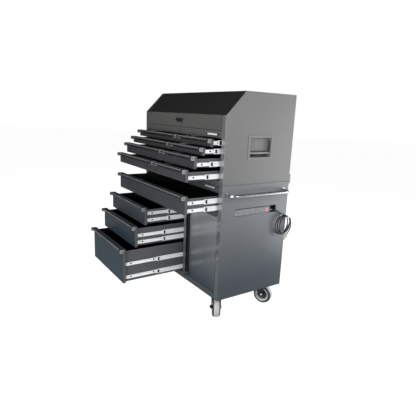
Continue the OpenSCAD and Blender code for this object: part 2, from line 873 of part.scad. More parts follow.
// Mouth of the cord's gland, and the cord's way on from there to the hook in chosen steps
gland_reach = 17.5;
gland_drop = 5;
gland_mouth = [strip_x1, strip_y1 + gland_reach, strip_mid_z - gland_drop];
lead_steps = [[0, 0, 0], [5, 7, 0], [10, 14, -1], [13, 23, -3.5], [15, 33, -8], [16, 44, -13.5],
    [16, 55, -19], [16, 66, -25], [15, 77, -30.5], [13, 88, -36.3]];
lead_way = [for (p = lead_steps) gland_mouth + p];
gland_turn = atan2(lead_steps[1][0], lead_steps[1][1]);
gland_l = 24;
gland_wall = 0.8;
gland_taper = 2.6;

// Recessed face of an outlet with its two slots and round hole, as a cut
module outlet_cut() {
    translate([-outlet_d, 0, -outlet_h / 2]) cube([outlet_d + through, outlet_w, outlet_h]);
    translate([-socket_d, outlet_w / 2, 0]) {
        for (z = [-1, 1])
            translate([0, -blade_l / 2, z * blade_gap / 2 - blade_w / 2])
                cube([socket_d, blade_l, blade_w]);
        translate([0, blade_l / 2 + 2 * earth_r, 0]) rotate([0, 90, 0])
            cylinder(r = earth_r, h = socket_d);
    }
}

module power_strip() {
    color(pale) {
        difference() {
            translate([strip_x0, strip_y0, strip_z0])
                cube([strip_x1 - strip_x0, strip_l, strip_h]);
            for (k = [0 : outlets - 1])
                translate([strip_x1, strip_y0 + outlet_start + k * outlet_pitch, strip_mid_z])
                    outlet_cut();
            translate([strip_x1 - rocker_pocket, rocker_y - rocker_w / 2 - rocker_play,
                       strip_mid_z - rocker_h / 2 - rocker_play])
                cube([rocker_pocket + through, rocker_w + 2 * rocker_play, rocker_h + 2 * rocker_play]);
            translate([rocker_x, rocker_y, strip_mid_z - rocker_h / 2 - rocker_pin_l - through])
                cylinder(r = rocker_pin_r + run_fit, h = rocker_h + 2 * rocker_pin_l + 2 * through);
        }
        translate(gland_mouth) rotate([0, 0, -gland_turn]) rotate([90, 0, 0])
            cylinder(r1 = cord_d / 2 + gland_wall, r2 = cord_d / 2 + gland_wall + gland_taper, h = gland_l);
    }
}

// Rocker, tilted on its pins between off and on
rocker_tilt = 7;

module power_switch() {
    color("#c8464f") translate([rocker_x, rocker_y, strip_mid_z]) {
        rotate([0, 0, rocker_tilt]) translate([0, 0, -rocker_h / 2]) linear_extrude(rocker_h)
            polygon([[-3, -rocker_w / 2 + 3], [3, -rocker_w / 2 + 0.6], [2, 0],
                     [3, rocker_w / 2 - 0.6], [-3, rocker_w / 2 - 3]]);
        translate([0, 0, -rocker_h / 2 - rocker_pin_l])
            cylinder(r = rocker_pin_r, h = rocker_h + 2 * rocker_pin_l);
    }
}

// Cord: a lead from the strip and a hank of loops on a hook

// Hook from the back edge, and the cord over it above the cabinet's underside
hook_inset = 35;
hook_h = 490;
hook_y = back_y - hook_inset;
cord_z = base_z + hook_h;
loop_start = 8;
loop_x0 = half_w + loop_start;
peg_r = 4.5;
peg_z = cord_z - cord_d / 2 - 0.3 - peg_r;
hank_start = 15;
hank_steps = 24;
tail_bend = 24;
tail_run = 75;
tail_swing = 40;
tail_end = 4;
tail_lean = 15;

function loop_w(t) = 58 + 9 * sin(90 * t - 30);
function loop_sway(t) = 14 * sin(110 * t + 200);
function loop_drop(t) = 122 + 7 * cos(150 * t);
// Point of the hank after t loops, starting over the peg
function loop_point(t) =
    let (a = 360 * t, low = (1 - cos(a)) / 2)
    [loop_x0 + loop_pitch * t,
     hook_y + loop_w(t) * sin(a) * (1 - 0.18 * low) + loop_sway(t) * low,
     cord_z - loop_drop(t) * low];
// Tail of the cord: over the peg once more, and down to the plug with a swing forward
function tail_point(a) =
    [loop_x0 + loop_pitch * loops + tail_lean * (1 - cos(2 * a)) / 2,
     hook_y + tail_bend * sin(a), cord_z - tail_bend * (1 - cos(a))];
function tail_down(s) =
    tail_point(90) - [0, tail_swing * (1 - cos(180 * s)) / 2, tail_run * s];
function unit(v) = v / norm(v);

loop_way = [for (k = [0 : loops * hank_steps - 2])
    loop_point(hank_start / 360 + k * (loops - hank_start / 360) / (loops * hank_steps - 1))];
tail_way = [for (a = [0 : 15 : 90]) tail_point(a)];
plug_top = tail_down(1) - [0, 0, tail_end];
tail_drop = concat([for (k = [1 : 5]) tail_down(k / 5)], [plug_top]);
first_run = unit(loop_way[1] - loop_way[0]) * cord_d;
hank_way = concat([loop_way[0] - first_run], loop_way, tail_way, tail_drop);

// Direction along a way at point k
function heading(way, k) =
    unit(way[min(k + 1, len(way) - 1)] - way[max(k - 1, 0)]);
// Ring of points round the way at point k
function ring(way, k, r, sides) =
    let (t = heading(way, k), u = unit([1, 0, 0] - t * t[0]), v = cross(t, u))
    [for (s = [0 : sides - 1]) way[k] + r * (u * cos(360 * s / sides) + v * sin(360 * s / sides))];

// Round tube along a way, closed at both ends
module tube(way, r, sides) {
    last = len(way) - 1;
    rings = [for (k = [0 : last]) each ring(way, k, r, sides)];
    walls = [for (k = [0 : last - 1], s = [0 : sides - 1])
        let (a = k * sides + s, b = k * sides + (s + 1) % sides)
        each [[a, a + sides, b], [b, a + sides, b + sides]]];
    first_cap = [for (s = [1 : sides - 2]) [0, s, s + 1]];
    last_cap = [for (s = [1 : sides - 2]) [last * sides, last * sides + s + 1, last * sides + s]];
    polyhedron(rings, concat(first_cap, walls, last_cap));
}

// Distance from a point to a stretch of the way
function off_stretch(p, a, b) =
    let (s = min(1, max(0, (p - a) * (b - a) / ((b - a) * (b - a)))))
    norm(p - a - s * (b - a));
apart = 8;
hank_gap = min([for (i = [0 : len(hank_way) - 1], k = [0 : len(hank_way) - 2])
    if (abs(i - k) > apart && abs(i - k - 1) > apart)
        off_stretch(hank_way[i], hank_way[k], hank_way[k + 1])]) - cord_d;
function way_length(way) = len(way) < 2 ? 0 :
    [for (k = [0 : len(way) - 2]) norm(way[k + 1] - way[k])] * [for (k = [0 : len(way) - 2]) 1];

lead_route = concat(lead_way, [hank_way[0]]);

module cord_lead() {
    color(black) tube(lead_route, cord_d / 2, 10);
}

module cord_hank() {
    echo(least_gap_in_hank = hank_gap, cord_length = way_length(lead_route) + way_length(hank_way));
    color(black) tube(hank_way, cord_d / 2, 6);
}

// Plug: thickness, width and length of its body, sleeve on the cord, blades and round pin
plug_t = 17;
plug_w = 26;
plug_l = 34;
sleeve_l = 12;
sleeve_r = 8;
sleeve_in = 2;
plug_blade = [1.6, 6.4, 17];
blade_in = 3;
blade_back = 1;
plug_pin_r = 2.4;
plug_pin_x = 4;

module cord_plug() {
    color(pale) translate(plug_top) mirror([0, 0, 1]) {
        cylinder(r1 = cord_d / 2 + 1, r2 = sleeve_r, h = sleeve_l);
        translate([-plug_t / 2, -plug_w / 2, sleeve_l - sleeve_in])
            cube([plug_t, plug_w, plug_l - sleeve_l + sleeve_in]);
    }
    color(steel) translate(plug_top - [0, 0, plug_l - blade_in]) mirror([0, 0, 1]) {
        for (y = [-blade_gap / 2, blade_gap / 2])
            translate([-blade_back - plug_blade[0] / 2, y - plug_blade[1] / 2, 0]) cube(plug_blade);
        translate([plug_pin_x, 0, 0]) cylinder(r = plug_pin_r, h = plug_blade[2]);
    }
}

module cord_hook() {
    reach = loop_pitch * loops + 18;
    bend = 10;
    foot_r = 14;
    foot_t = 4;
    color(zinc) translate([half_w, hook_y, peg_z]) {
        rotate([0, 90, 0]) cylinder(r = foot_r, h = foot_t);
        rotate([0, 90, 0]) cylinder(r = peg_r, h = reach);
        translate([reach, 0, bend]) rotate([90, 0, 0]) rotate([0, 0, -90]) rod_bend(peg_r, bend);
        translate([reach + bend, 0, bend]) cylinder(r = peg_r, h = 12);
        translate([reach + bend, 0, bend + 12]) sphere(r = peg_r);
    }
}

// Casters

crown_t = 4;
wheel_room = 4;
crown_z = 2 * wheel_r + wheel_room;
race_z = crown_z + crown_t;
plate_z = base_z - plate_t;
wheel_play = 2;
cheek_y = wheel_w / 2 + wheel_play;
// Outline of the cheeks: past the kingpin, past the axle, below the crown, round the axle
crown_front = 30;
crown_back = 10;
cheek_fold = 6;
cheek_r = 15;
axle_past = 3;
brake_axle = 9;
caster_sides = [front_y + caster_y, back_y - caster_y];
swivels = [front_swivel, rear_swivel];

// Cheeks and crown of a fork, trailing along +X, with its axle
module fork_body(x0) {
    axle_end = cheek_y + cheek + axle_past;
    front = x0 - crown_front;
    back = trail + crown_back;
    for (s = [0, 1]) mirror([0, s, 0]) translate([0, cheek_y + cheek, 0]) rotate([90, 0, 0])
        linear_extrude(cheek) {
            polygon([[front, race_z], [front, crown_z - cheek_fold], [trail - cheek_r, wheel_r],
                     [trail + cheek_r, wheel_r], [back, crown_z - cheek_fold], [back, race_z]]);
            translate([trail, wheel_r]) circle(r = cheek_r);
        }
    translate([front, -cheek_y - cheek, crown_z])
        cube([back - front, 2 * (cheek_y + cheek), crown_t]);
    translate([trail, -axle_end, wheel_r]) rotate([-90, 0, 0]) cylinder(r = axle_r, h = 2 * axle_end);
}

lower_race_r = 27;
upper_race_r = 31;
race_split = race_z + (plate_z - race_z) / 2;
race_play = 0.15;
block_l = 60;
fixed_front = 4;

module swivel_fork() {
    difference() {
        union() {
            fork_body(0);
            translate([0, 0, crown_z]) cylinder(r = lower_race_r, h = race_split - crown_z - race_play);
        }
        translate([0, 0, crown_z - through])
            cylinder(r = kingpin_r + run_fit, h = plate_z - crown_z + 2 * through);
    }
}

module caster_plate() {
    translate([-plate_l / 2, -plate_w / 2, plate_z]) cube([plate_l, plate_w, plate_t]);
}

module swivel_plate() {
    caster_plate();
    translate([0, 0, race_split + race_play]) cylinder(r = upper_race_r, h = plate_z - race_split);
    translate([0, 0, crown_z - 0.5]) cylinder(r = kingpin_r, h = plate_z - crown_z + 1);
}

module at_right_caster(k) {
    translate([half_w - caster_x, caster_sides[k], 0]) children();
}

module at_left_caster(k) {
    translate([caster_x - half_w - trail, caster_sides[k], 0]) children();
}

// Top plates of the swivel casters and the whole forks of the fixed ones
module caster_brackets() {
    color(steel) for (k = [0, 1]) {
        at_right_caster(k) swivel_plate();
        at_left_caster(k) {
            translate([trail, 0, 0]) caster_plate();
            fork_body(trail - fixed_front);
            translate([trail - block_l / 2, -cheek_y - cheek, race_z])
                cube([block_l, 2 * (cheek_y + cheek), plate_z - race_z]);
        }
    }
}

module front_caster_fork() {
    color(black) at_right_caster(0) rotate([0, 0, swivels[0]]) {
        swivel_fork();
        translate([trail, -cheek_y - cheek - brake_axle, wheel_r]) rotate([-90, 0, 0])
            cylinder(r = axle_r, h = brake_axle);
    }
}

module rear_caster_fork() {
    color(black) at_right_caster(1) rotate([0, 0, swivels[1]]) swivel_fork();
}

// Side brake: a foot lever that turns on the end of the front axle
lever_t = 4;
lever_r = 12;
lever_l = 42;
lever_play = 0.1;
lever_end = 6;
foot_l = 22;
foot_w = 8;
foot_h = 3;
foot_up = 14;

module brake_lever() {
    lever_y = -cheek_y - cheek - seam_gap - lever_play;
    color(steel) at_right_caster(0) rotate([0, 0, swivels[0]]) translate([trail, lever_y, wheel_r]) {
        difference() {
            rotate([90, 0, 0]) linear_extrude(lever_t) {
                circle(r = lever_r);
                polygon([[-lever_r / 3, lever_r - 1], [lever_l, foot_up + foot_h],
                         [lever_l, foot_up - lever_end], [lever_r * 2 / 3, -lever_r * 3 / 4]]);
            }
            translate([0, through, 0]) rotate([90, 0, 0])
                cylinder(r = axle_r + run_fit, h = lever_t + 2 * through);
        }
        translate([lever_l - foot_l, -lever_t - foot_w, foot_up])
            cube([foot_l, foot_w + lever_t, foot_h]);
    }
}

// Tyre and core of a wheel, turned about Y
core_r = wheel_r - tyre_t;
shoulder_h = 13;
shoulder_w = 15;
rim_t = 8;
rim_dish = 4;
rim_in = 1;
web_half = 7;
hub_flare = 3;
hub_gap = 0.4;
core_fit = 0.05;

module wheel() {
    half = wheel_w / 2;
    hub_half = cheek_y - hub_gap;
    bore_r = axle_r + run_fit;
    seat_r = core_r - core_fit;
    tyre_half = concat([[core_r, rim_in - half]], [for (a = [0 : 15 : 90])
        [wheel_r - shoulder_h * (1 - sin(a)), shoulder_w * (1 - cos(a)) - half]]);
    core_half = [[bore_r, -hub_half], [hub_r, -hub_half], [hub_r + hub_flare, -web_half - rim_in],
        [core_r - rim_t - rim_dish, -web_half], [core_r - rim_t, rim_dish - half],
        [seat_r, 2 * rim_in - half]];
    rotate([90, 0, 0]) {
        color(pale) rotate_extrude() polygon(both_sides(tyre_half));
        color(dark_paint) rotate_extrude() polygon(both_sides(core_half));
    }
}

// A half outline followed by its mirror image
function both_sides(points) =
    concat(points, [for (k = [len(points) - 1 : -1 : 0]) [points[k][0], -points[k][1]]]);

module right_wheel(k) {
    at_right_caster(k) rotate([0, 0, swivels[k]]) translate([trail, 0, wheel_r]) wheel();
}

module left_wheel(k) {
    at_left_caster(k) translate([trail, 0, wheel_r]) wheel();
}

cabinet_floor();
cabinet_left_side();
cabinet_right_side();
cabinet_back();
cabinet_top();
cabinet_front_rails();
cabinet_divider();
chest_floors();
chest_left_side();
chest_right_side();
chest_back();
chest_front_frame();
joining_plates();
slide_rails();
hinge_pins();
push_handle();
handle_dishes();
left_carry_handle();
right_carry_handle();
power_strip();
power_switch();
cord_hook();
cord_lead();
cord_hank();
cord_plug();
lid();
chest_lock();
door();
caster_brackets();
front_caster_fork();
rear_caster_fork();
brake_lever();
right_wheel(0);  // front_right_wheel
right_wheel(1);  // rear_right_wheel
left_wheel(0);  // front_left_wheel
left_wheel(1);  // rear_left_wheel
for (d = DRAWERS) {
    drawer(d);
    mid_slides(d);
}
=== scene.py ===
# %% [markdown]
# # A tool chest on a rolling cabinet
# The solids come from the CAD frame: carcass, drawers, slides, lid, door, casters.
# This lesson dresses them: paint, zinc, rubber and plastic, and the small things that
# a maker adds last, such as drawer mats, screws, nuts and badge plates.

import json
import math

import bpy
from mathutils import Euler, Matrix, Vector


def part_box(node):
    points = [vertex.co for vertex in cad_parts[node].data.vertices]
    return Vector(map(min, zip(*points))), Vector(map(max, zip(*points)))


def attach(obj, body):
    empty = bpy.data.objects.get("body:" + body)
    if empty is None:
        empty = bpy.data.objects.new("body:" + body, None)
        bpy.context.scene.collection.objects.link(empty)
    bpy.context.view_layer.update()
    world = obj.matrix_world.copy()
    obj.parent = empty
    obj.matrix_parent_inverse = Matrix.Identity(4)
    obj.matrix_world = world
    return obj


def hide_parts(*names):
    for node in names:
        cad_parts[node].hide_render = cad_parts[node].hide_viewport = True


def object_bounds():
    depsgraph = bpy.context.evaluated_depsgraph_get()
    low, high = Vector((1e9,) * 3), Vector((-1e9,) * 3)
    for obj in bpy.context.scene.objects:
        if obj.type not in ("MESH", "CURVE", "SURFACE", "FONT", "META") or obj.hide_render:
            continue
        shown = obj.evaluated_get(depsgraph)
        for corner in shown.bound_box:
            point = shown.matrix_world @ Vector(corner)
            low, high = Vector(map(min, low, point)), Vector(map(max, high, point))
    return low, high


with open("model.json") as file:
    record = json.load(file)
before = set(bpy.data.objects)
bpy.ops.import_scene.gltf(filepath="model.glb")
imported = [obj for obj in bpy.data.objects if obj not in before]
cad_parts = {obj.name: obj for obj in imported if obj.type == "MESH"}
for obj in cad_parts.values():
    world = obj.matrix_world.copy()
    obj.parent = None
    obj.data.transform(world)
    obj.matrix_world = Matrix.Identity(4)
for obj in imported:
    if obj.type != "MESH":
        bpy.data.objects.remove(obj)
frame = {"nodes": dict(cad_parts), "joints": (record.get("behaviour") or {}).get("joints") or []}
cad_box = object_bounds()
nodes = frame["nodes"]
MM = 0.001
print("loaded", len(nodes), "nodes")

# %% [markdown]
# ## The camera
# The chest is seen from its right front corner, a little above the middle drawers.
# A camera can be aimed by eye, but its place, turn and lens were found by matching
# corners of the carcass with the photograph, because then every edge falls in place.

# %% Camera
camera_data = bpy.data.cameras.new("camera")
camera_data.sensor_width = 36
camera_data.lens = 33.85
camera = bpy.data.objects.new("camera", camera_data)
camera.location = (2.2522, -1.5662, 1.2646)
camera.rotation_euler = Euler([math.radians(a) for a in (76.379, -2.457, 55.986)])
bpy.context.scene.collection.objects.link(camera)
bpy.context.scene.camera = camera
print("camera at", tuple(camera.location))

# %% [markdown]
# ## Shader maths
# A finish is easier to read as an expression than as a drawing of nodes, so its nodes
# are made in code. `Wire` holds one output socket, and its operators add Math nodes.
# `Tree` makes any other node with its `add` method. `Finish` is the tree of a material.

# %% Wires
class Wire:
    """One output socket, with the sums, differences and products made from it."""

    def __init__(self, tree, socket):
        self.tree, self.socket = tree, socket

    def math(self, operation, a, b):
        return self.tree.add("ShaderNodeMath", {"operation": operation}, {0: a, 1: b})

    def __add__(self, other):
        return self.math("ADD", self, other)

    def __sub__(self, other):
        return self.math("SUBTRACT", self, other)

    def __rsub__(self, other):
        return self.math("SUBTRACT", other, self)

    def __mul__(self, other):
        return self.math("MULTIPLY", self, other)

    __radd__, __rmul__ = __add__, __mul__


# %% Trees and finishes
MIX_FACTOR, MIX_A, MIX_B, MIX_COLOUR = 0, 6, 7, 2


class Tree:
    """Any node tree: its add method makes one node of any kind."""

    def __init__(self, tree):
        self.tree = tree

    def add(self, kind, settings=None, sockets=None, out=0):
        node = self.tree.nodes.new(kind)
        for key, value in (settings or {}).items():
            setattr(node, key, value)
        for key, value in (sockets or {}).items():
            if isinstance(value, Wire):
                self.tree.links.new(value.socket, node.inputs[key])
            else:
                node.inputs[key].default_value = value
        return Wire(self, node.outputs[out])


class Finish(Tree):
    """The tree of one material. Flat values are named for the shader's sockets."""

    def __init__(self, name, **flat):
        self.material = bpy.data.materials.new(name)
        self.material.use_nodes = True
        super().__init__(self.material.node_tree)
        self.shader = self.tree.nodes["Principled BSDF"]
        for socket, value in flat.items():
            self.shader.inputs[socket.replace("_", " ")].default_value = value
        self.place = self.add("ShaderNodeTexCoord", out="Object")

    def feed(self, socket, wire):
        self.tree.links.new(wire.socket, self.shader.inputs[socket])

    def height(self):
        return self.add("ShaderNodeSeparateXYZ", None, {0: self.place}, out="Z")

    def noise(self, scale, detail=3):
        return self.add("ShaderNodeTexNoise", None,
                        {"Vector": self.place, "Scale": scale, "Detail": detail})

    def blend(self, mask, dark, light):
        """Colour that goes from dark to light with the mask."""
        return self.add("ShaderNodeMix", {"data_type": "RGBA"},
                        {MIX_FACTOR: mask, MIX_A: (*dark, 1), MIX_B: (*light, 1)},
                        out=MIX_COLOUR)

    def skin(self, relief, strength, distance, round_edge=0.0):
        """Fine surface relief, over edges that are rounded by a fold or a moulding."""
        sockets = {"Height": relief, "Strength": strength, "Distance": distance}
        if round_edge:
            sockets["Normal"] = self.add("ShaderNodeBevel", {"samples": 4},
                                         {"Radius": round_edge})
        self.feed("Normal", self.add("ShaderNodeBump", None, sockets))


print("shader maths ready")

# %% [markdown]
# ## Powder coat
# The sheet steel has a baked powder coat: a fine orange peel, a soft gloss and
# slight drift in colour over a panel. Some coats also go from one colour to another
# with the height as painted light: the cabinet is darker and bluer towards the floor as
# a painted reflection, the door and the right stiles lighter towards the top as painted
# reflection, and the fronts darker lower down as painted shade. Folds in sheet have a
# small radius, so the edges catch a thin line of light: a Bevel node gives that line and
# leaves the CAD mesh as it is. The door and the right stiles are glossier, with metal
# flake, and mirror what stands open beside them.

# %% Paints
DRIFT_SCALE, SHEEN_SCALE, PEEL_SCALE = 3.0, 14.0, 900.0
DRIFT_SWING, SHEEN_SWING, NOISE_MEAN = 0.2, 0.10, 0.5


def powder_coat(name, dark, light, roughness, gloss=0.5, low=None, high=None, metal=0.0):
    """Paint on sheet. With low and high, it goes from dark to light between the heights, as
    painted light.
    """
    coat = Finish(name, IOR=1.5, Specular_IOR_Level=gloss, Metallic=metal)
    drift = coat.noise(DRIFT_SCALE, detail=2)
    peel = coat.noise(PEEL_SCALE, detail=2)
    if low is not None:
        # The ramp by height is painted light, not a change in the paint.
        painted_light_ramp = (coat.height() - low) * (1 / (high - low))
        drift = painted_light_ramp + DRIFT_SWING * (drift - NOISE_MEAN)
    coat.feed("Base Color", coat.blend(drift, dark, light))
    coat.feed("Roughness", roughness + SHEEN_SWING * (coat.noise(SHEEN_SCALE) - NOISE_MEAN))
    coat.skin(peel, strength=0.12, distance=0.6 * MM, round_edge=1.8 * MM)
    return coat


# Painted reflection: the cabinet goes darker and bluer towards the floor, as a dark floor would
# show in its gloss.
cabinet_coat_painted_reflection = powder_coat("cabinet_coat_painted_reflection", (0.046, 0.058, 0.068), (0.165, 0.168, 0.182), 0.32,
                           low=0.25, high=0.80)
# Painted reflection: the door goes from dark low down to light towards the top.
door_coat_painted_reflection = powder_coat("door_coat_painted_reflection", (0.064, 0.084, 0.098), (0.40, 0.40, 0.42), 0.2,
                        low=0.22, high=0.72, metal=0.5)
# Painted reflection: the right stiles go from dark low down to light higher up.
stile_coat_painted_reflection = powder_coat("stile_coat_painted_reflection", (0.20, 0.21, 0.225), (0.46, 0.46, 0.48), 0.14,
                         low=0.2, high=1.2, metal=0.72)
# Painted shade: a darker copy of the cabinet paint for the front rails, which face the front and
# get less light.
rail_coat_painted_shade = powder_coat("rail_coat_painted_shade", (0.050, 0.055, 0.060), (0.062, 0.066, 0.070), 0.3,
                        gloss=0.4)
chest_coat = powder_coat("chest_coat", (0.145, 0.145, 0.143), (0.17, 0.17, 0.167), 0.36)
# Painted shade: the drawer fronts go darker and bluer towards the floor.
front_coat_painted_shade = powder_coat("front_coat_painted_shade", (0.020, 0.038, 0.049), (0.052, 0.052, 0.057), 0.34,
                         gloss=0.4, low=0.35, high=0.85)
# Tray paint, lighter than the fronts. On the fronts' side returns it is painted light.
tray_coat_and_painted_light = powder_coat("tray_coat_and_painted_light", (0.084, 0.084, 0.090), (0.098, 0.098, 0.104), 0.36,
                        gloss=0.4)
# Painted shade: a dark copy of the tray paint for the insides of the drawers.
painted_shade_inside = powder_coat("painted_shade_inside", (0.018, 0.018, 0.020), (0.026, 0.026, 0.028), 0.4,
                          gloss=0.3)
# Pale grey for the badge rims, and a painted highlight on the tops of pull lips, tray hems and
# the door pull's nose.
pale_rim_and_painted_highlight = powder_coat("pale_rim_and_painted_highlight", (0.145, 0.145, 0.152), (0.175, 0.175, 0.182), 0.36)
# Painted shade in black: in grooves, bays and faces behind the front, and on the lid and slope
# as a painted dark reflection.
painted_shade_black = powder_coat("painted_shade_black", (0.013, 0.013, 0.013), (0.018, 0.018, 0.018), 0.4,
                         gloss=0.2)
# Painted shade: a darker copy of the chest paint for the lid's lip, the header and the left
# stiles.
lip_coat_painted_shade = powder_coat("lip_coat_painted_shade", (0.085, 0.085, 0.083), (0.10, 0.10, 0.097), 0.36,
                       gloss=0.4)
print("paints made")

# %% [markdown]
# ## Metals, rubber and plastic
# Zinc plate has a fine drawn grain along the slides, which a stretched noise gives.
# Other metal is a little patchy, and mouldings are slightly cloudy, so each mixes two
# near colours by a noise. Rubber is dull, and its tread is worn pale where it rolls.

# %% Metals
GRAIN_STRETCH = (600.0, 8.0, 600.0)
ZINC_SHEEN, GRAIN_SWING = 0.26, 0.16
zinc = Finish("zinc_plate", Metallic=0.12, IOR=1.5)
grain = zinc.add("ShaderNodeTexNoise", None, {
    "Vector": zinc.add("ShaderNodeMapping", None,
                       {"Vector": zinc.place, "Scale": GRAIN_STRETCH}),
    "Scale": 1.0, "Detail": 2.0})
zinc.feed("Base Color", zinc.blend(grain, (0.89, 0.90, 0.91), (0.96, 0.97, 0.97)))
zinc.feed("Roughness", ZINC_SHEEN + GRAIN_SWING * grain)
zinc.skin(grain, strength=0.05, distance=0.3 * MM, round_edge=0.4 * MM)
PATCH_SCALE, SCUFF_SCALE, WEAR_SWING = 30.0, 700.0, 0.12


def worn_metal(name, dark, light, roughness, metallic=1.0):
    """Metal, bare or coated, that has grown patchy with use."""
    metal = Finish(name, Metallic=metallic)
    patch = metal.noise(PATCH_SCALE)
    metal.feed("Base Color", metal.blend(patch, dark, light))
    metal.feed("Roughness", roughness + WEAR_SWING * (patch - NOISE_MEAN))
    metal.skin(metal.noise(SCUFF_SCALE, detail=2), strength=0.06, distance=0.4 * MM,
               round_edge=0.8 * MM)
    return metal


steel = worn_metal("bright_steel", (0.52, 0.53, 0.54), (0.66, 0.67, 0.68), 0.28)
handle_metal = worn_metal("handle_coat", (0.38, 0.385, 0.395), (0.44, 0.445, 0.455), 0.24,
                          metallic=0.9)
fork_metal = worn_metal("fork_coat", (0.018, 0.018, 0.019), (0.032, 0.032, 0.034), 0.36,
                        metallic=0.3)
# The pulls' own colour. On the caps' front and top faces it is painted shade.
anodised_and_cap_shade = worn_metal("pull_anodised_and_cap_shade", (0.050, 0.050, 0.054), (0.070, 0.070, 0.074), 0.26,
                      metallic=0.4)
badge_metal = worn_metal("badge_metal", (0.76, 0.76, 0.77), (0.86, 0.86, 0.87), 0.35,
                         metallic=0.1)
print("metals made")

# %% Plastics and rubber
CLOUD_SCALE, TEXTURE_SCALE = 40.0, 1500.0


def moulded(name, dark, light, roughness, relief=0.10):
    """Plastic or rubber from a mould, with a fine grain and soft edges."""
    plastic = Finish(name, IOR=1.46)
    cloud = plastic.noise(CLOUD_SCALE)
    plastic.feed("Base Color", plastic.blend(cloud, dark, light))
    plastic.feed("Roughness", roughness + WEAR_SWING * (cloud - NOISE_MEAN))
    plastic.skin(plastic.noise(TEXTURE_SCALE, detail=2), strength=relief, distance=0.4 * MM,
                 round_edge=0.8 * MM)
    return plastic


cap_grey = moulded("cap_grey", (0.25, 0.252, 0.255), (0.31, 0.312, 0.315), 0.35)
dish_grey = moulded("dish_grey", (0.165, 0.165, 0.163), (0.19, 0.19, 0.187), 0.4)
grip_pale = moulded("grip_pale", (0.23, 0.23, 0.227), (0.29, 0.29, 0.286), 0.4)
strip_grey = moulded("strip_grey", (0.18, 0.192, 0.19), (0.235, 0.247, 0.245), 0.45)
rocker_red = moulded("rocker_red", (0.60, 0.14, 0.22), (0.72, 0.22, 0.31), 0.25)
# Black plastic for the lid pull, levers and badge fields. It is painted shade on the dish ledges
# and the blocks behind the grips.
black_plastic_and_painted_shade = moulded("black_plastic_and_painted_shade", (0.014, 0.014, 0.014), (0.022, 0.022, 0.022), 0.4)
cord_black = moulded("cord_black", (0.016, 0.016, 0.017), (0.026, 0.026, 0.027), 0.3)
plug_grey = moulded("plug_grey", (0.3, 0.3, 0.3), (0.38, 0.38, 0.38), 0.4)
tread_pale = moulded("tread_pale", (0.42, 0.42, 0.43), (0.56, 0.56, 0.57), 0.55, relief=0.3)
tyre_dark = moulded("tyre_dark", (0.032, 0.033, 0.036), (0.052, 0.053, 0.056), 0.5, relief=0.2)
rim_pale = moulded("rim_pale", (0.5, 0.51, 0.52), (0.62, 0.63, 0.64), 0.35)
print("plastics and rubber made")

# %% [markdown]
# ## Ribbed foam
# The mats in the drawers are black foam with fine ribs from front to back. Ribs could be
# extruded, but they are a few millimetres wide and hardly show between the drawers, so a
# wave texture gives them as relief.

# %% Foam
mat_foam = Finish("mat_foam", Roughness=0.9, IOR=1.4)
ribs = mat_foam.add("ShaderNodeTexWave", {"wave_type": "BANDS", "bands_direction": "X"},
                    {"Vector": mat_foam.place, "Scale": 60.0, "Distortion": 0.0})
mat_foam.feed("Base Color", mat_foam.blend(mat_foam.noise(120.0), (0.012, 0.012, 0.013),
                                           (0.022, 0.022, 0.023)))
mat_foam.skin(ribs, strength=0.5, distance=1 * MM)
print("foam made")

# %% [markdown]
# ## Which surface gets which finish
# A CAD node can hold several solids, such as a drawer with its pull, its caps and its
# inner slide members. A copy could be cut apart, but the mesh stays as it is here:
# each face is given a finish by its place and by the way it looks. Much of this is
# painted light: faces that look one way get a lighter or darker copy of a paint, and
# grooves, bays and hidden faces are painted black as shade.

# %% Sizes of the drawers
CAP, PULL_D, PULL_NOSE = 18 * MM, 22.4 * MM, 6.4 * MM
PROUD, FOLD, HAIR = 0.4 * MM, 1.3 * MM, 0.1 * MM
SLIDE_ROOM, FRONT_GAP, FRONT_D = 13 * MM, 3 * MM, 16 * MM
SIDE_DROP, HALF_INNER, HEM = 15 * MM, 10 * MM, 2.6 * MM
TRAY_IN = SLIDE_ROOM - FRONT_GAP
CHEST_LEVELS = (22,)
SLIDE_LEVELS = {"cabinet_wide_drawer": (21, 65), "cabinet_upper_drawer": (29, 73),
                "cabinet_middle_drawer": (29, 73), "cabinet_lower_drawer": (35, 122)}


def drawer_sizes(name):
    """Edges of a drawer's front, its face and back, its slides' heights, its tray's top."""
    low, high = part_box(name)
    slides = [low.z + level * MM for level in SLIDE_LEVELS.get(name, CHEST_LEVELS)]
    top = high.z - PROUD
    return {"x0": low.x, "x1": high.x, "z0": low.z, "top": top,
            "face": low.y + PULL_D, "back": high.y, "slides": slides,
            "tray_top": max(top - SIDE_DROP, slides[-1] + HALF_INNER + HEM)}


drawers = {name: drawer_sizes(name) for name in nodes if name.endswith("_drawer")}
print("measured", len(drawers), "drawers")

# %% Finishes on the drawers
# The least part of a face's normal along an axis, for a face that looks that way.
STRAIGHT, SLOPING, TURNED, BARELY = 0.9, 0.4, 0.3, 0.1


def dress(node, finishes, choose):
    """Gives each face of a CAD node the one of the finishes that choose() returns."""
    mesh = nodes[node].data
    mesh.materials.clear()
    for finish in finishes:
        mesh.materials.append(finish.material)
    for face in mesh.polygons:
        face.material_index = finishes.index(choose(face.center, face.normal))


def pull_face(c, n, front, at_end, along, out):
    """Finish of a pull: pale end faces on its caps with painted shade on their other faces, a
    painted highlight on its lip's top, and painted shade in black in its groove.
    """
    if at_end:
        # Only a cap's end face is pale. Its front and top are painted shade.
        return cap_grey if abs(along) > TURNED else anodised_and_cap_shade
    lip = c.y < front - PULL_D + PULL_NOSE and n.y < -BARELY
    # The lip's top is a painted highlight. The groove and underside are painted shade.
    if lip and out > TURNED:
        return pale_rim_and_painted_highlight
    return anodised_and_cap_shade if lip or out > TURNED else painted_shade_black


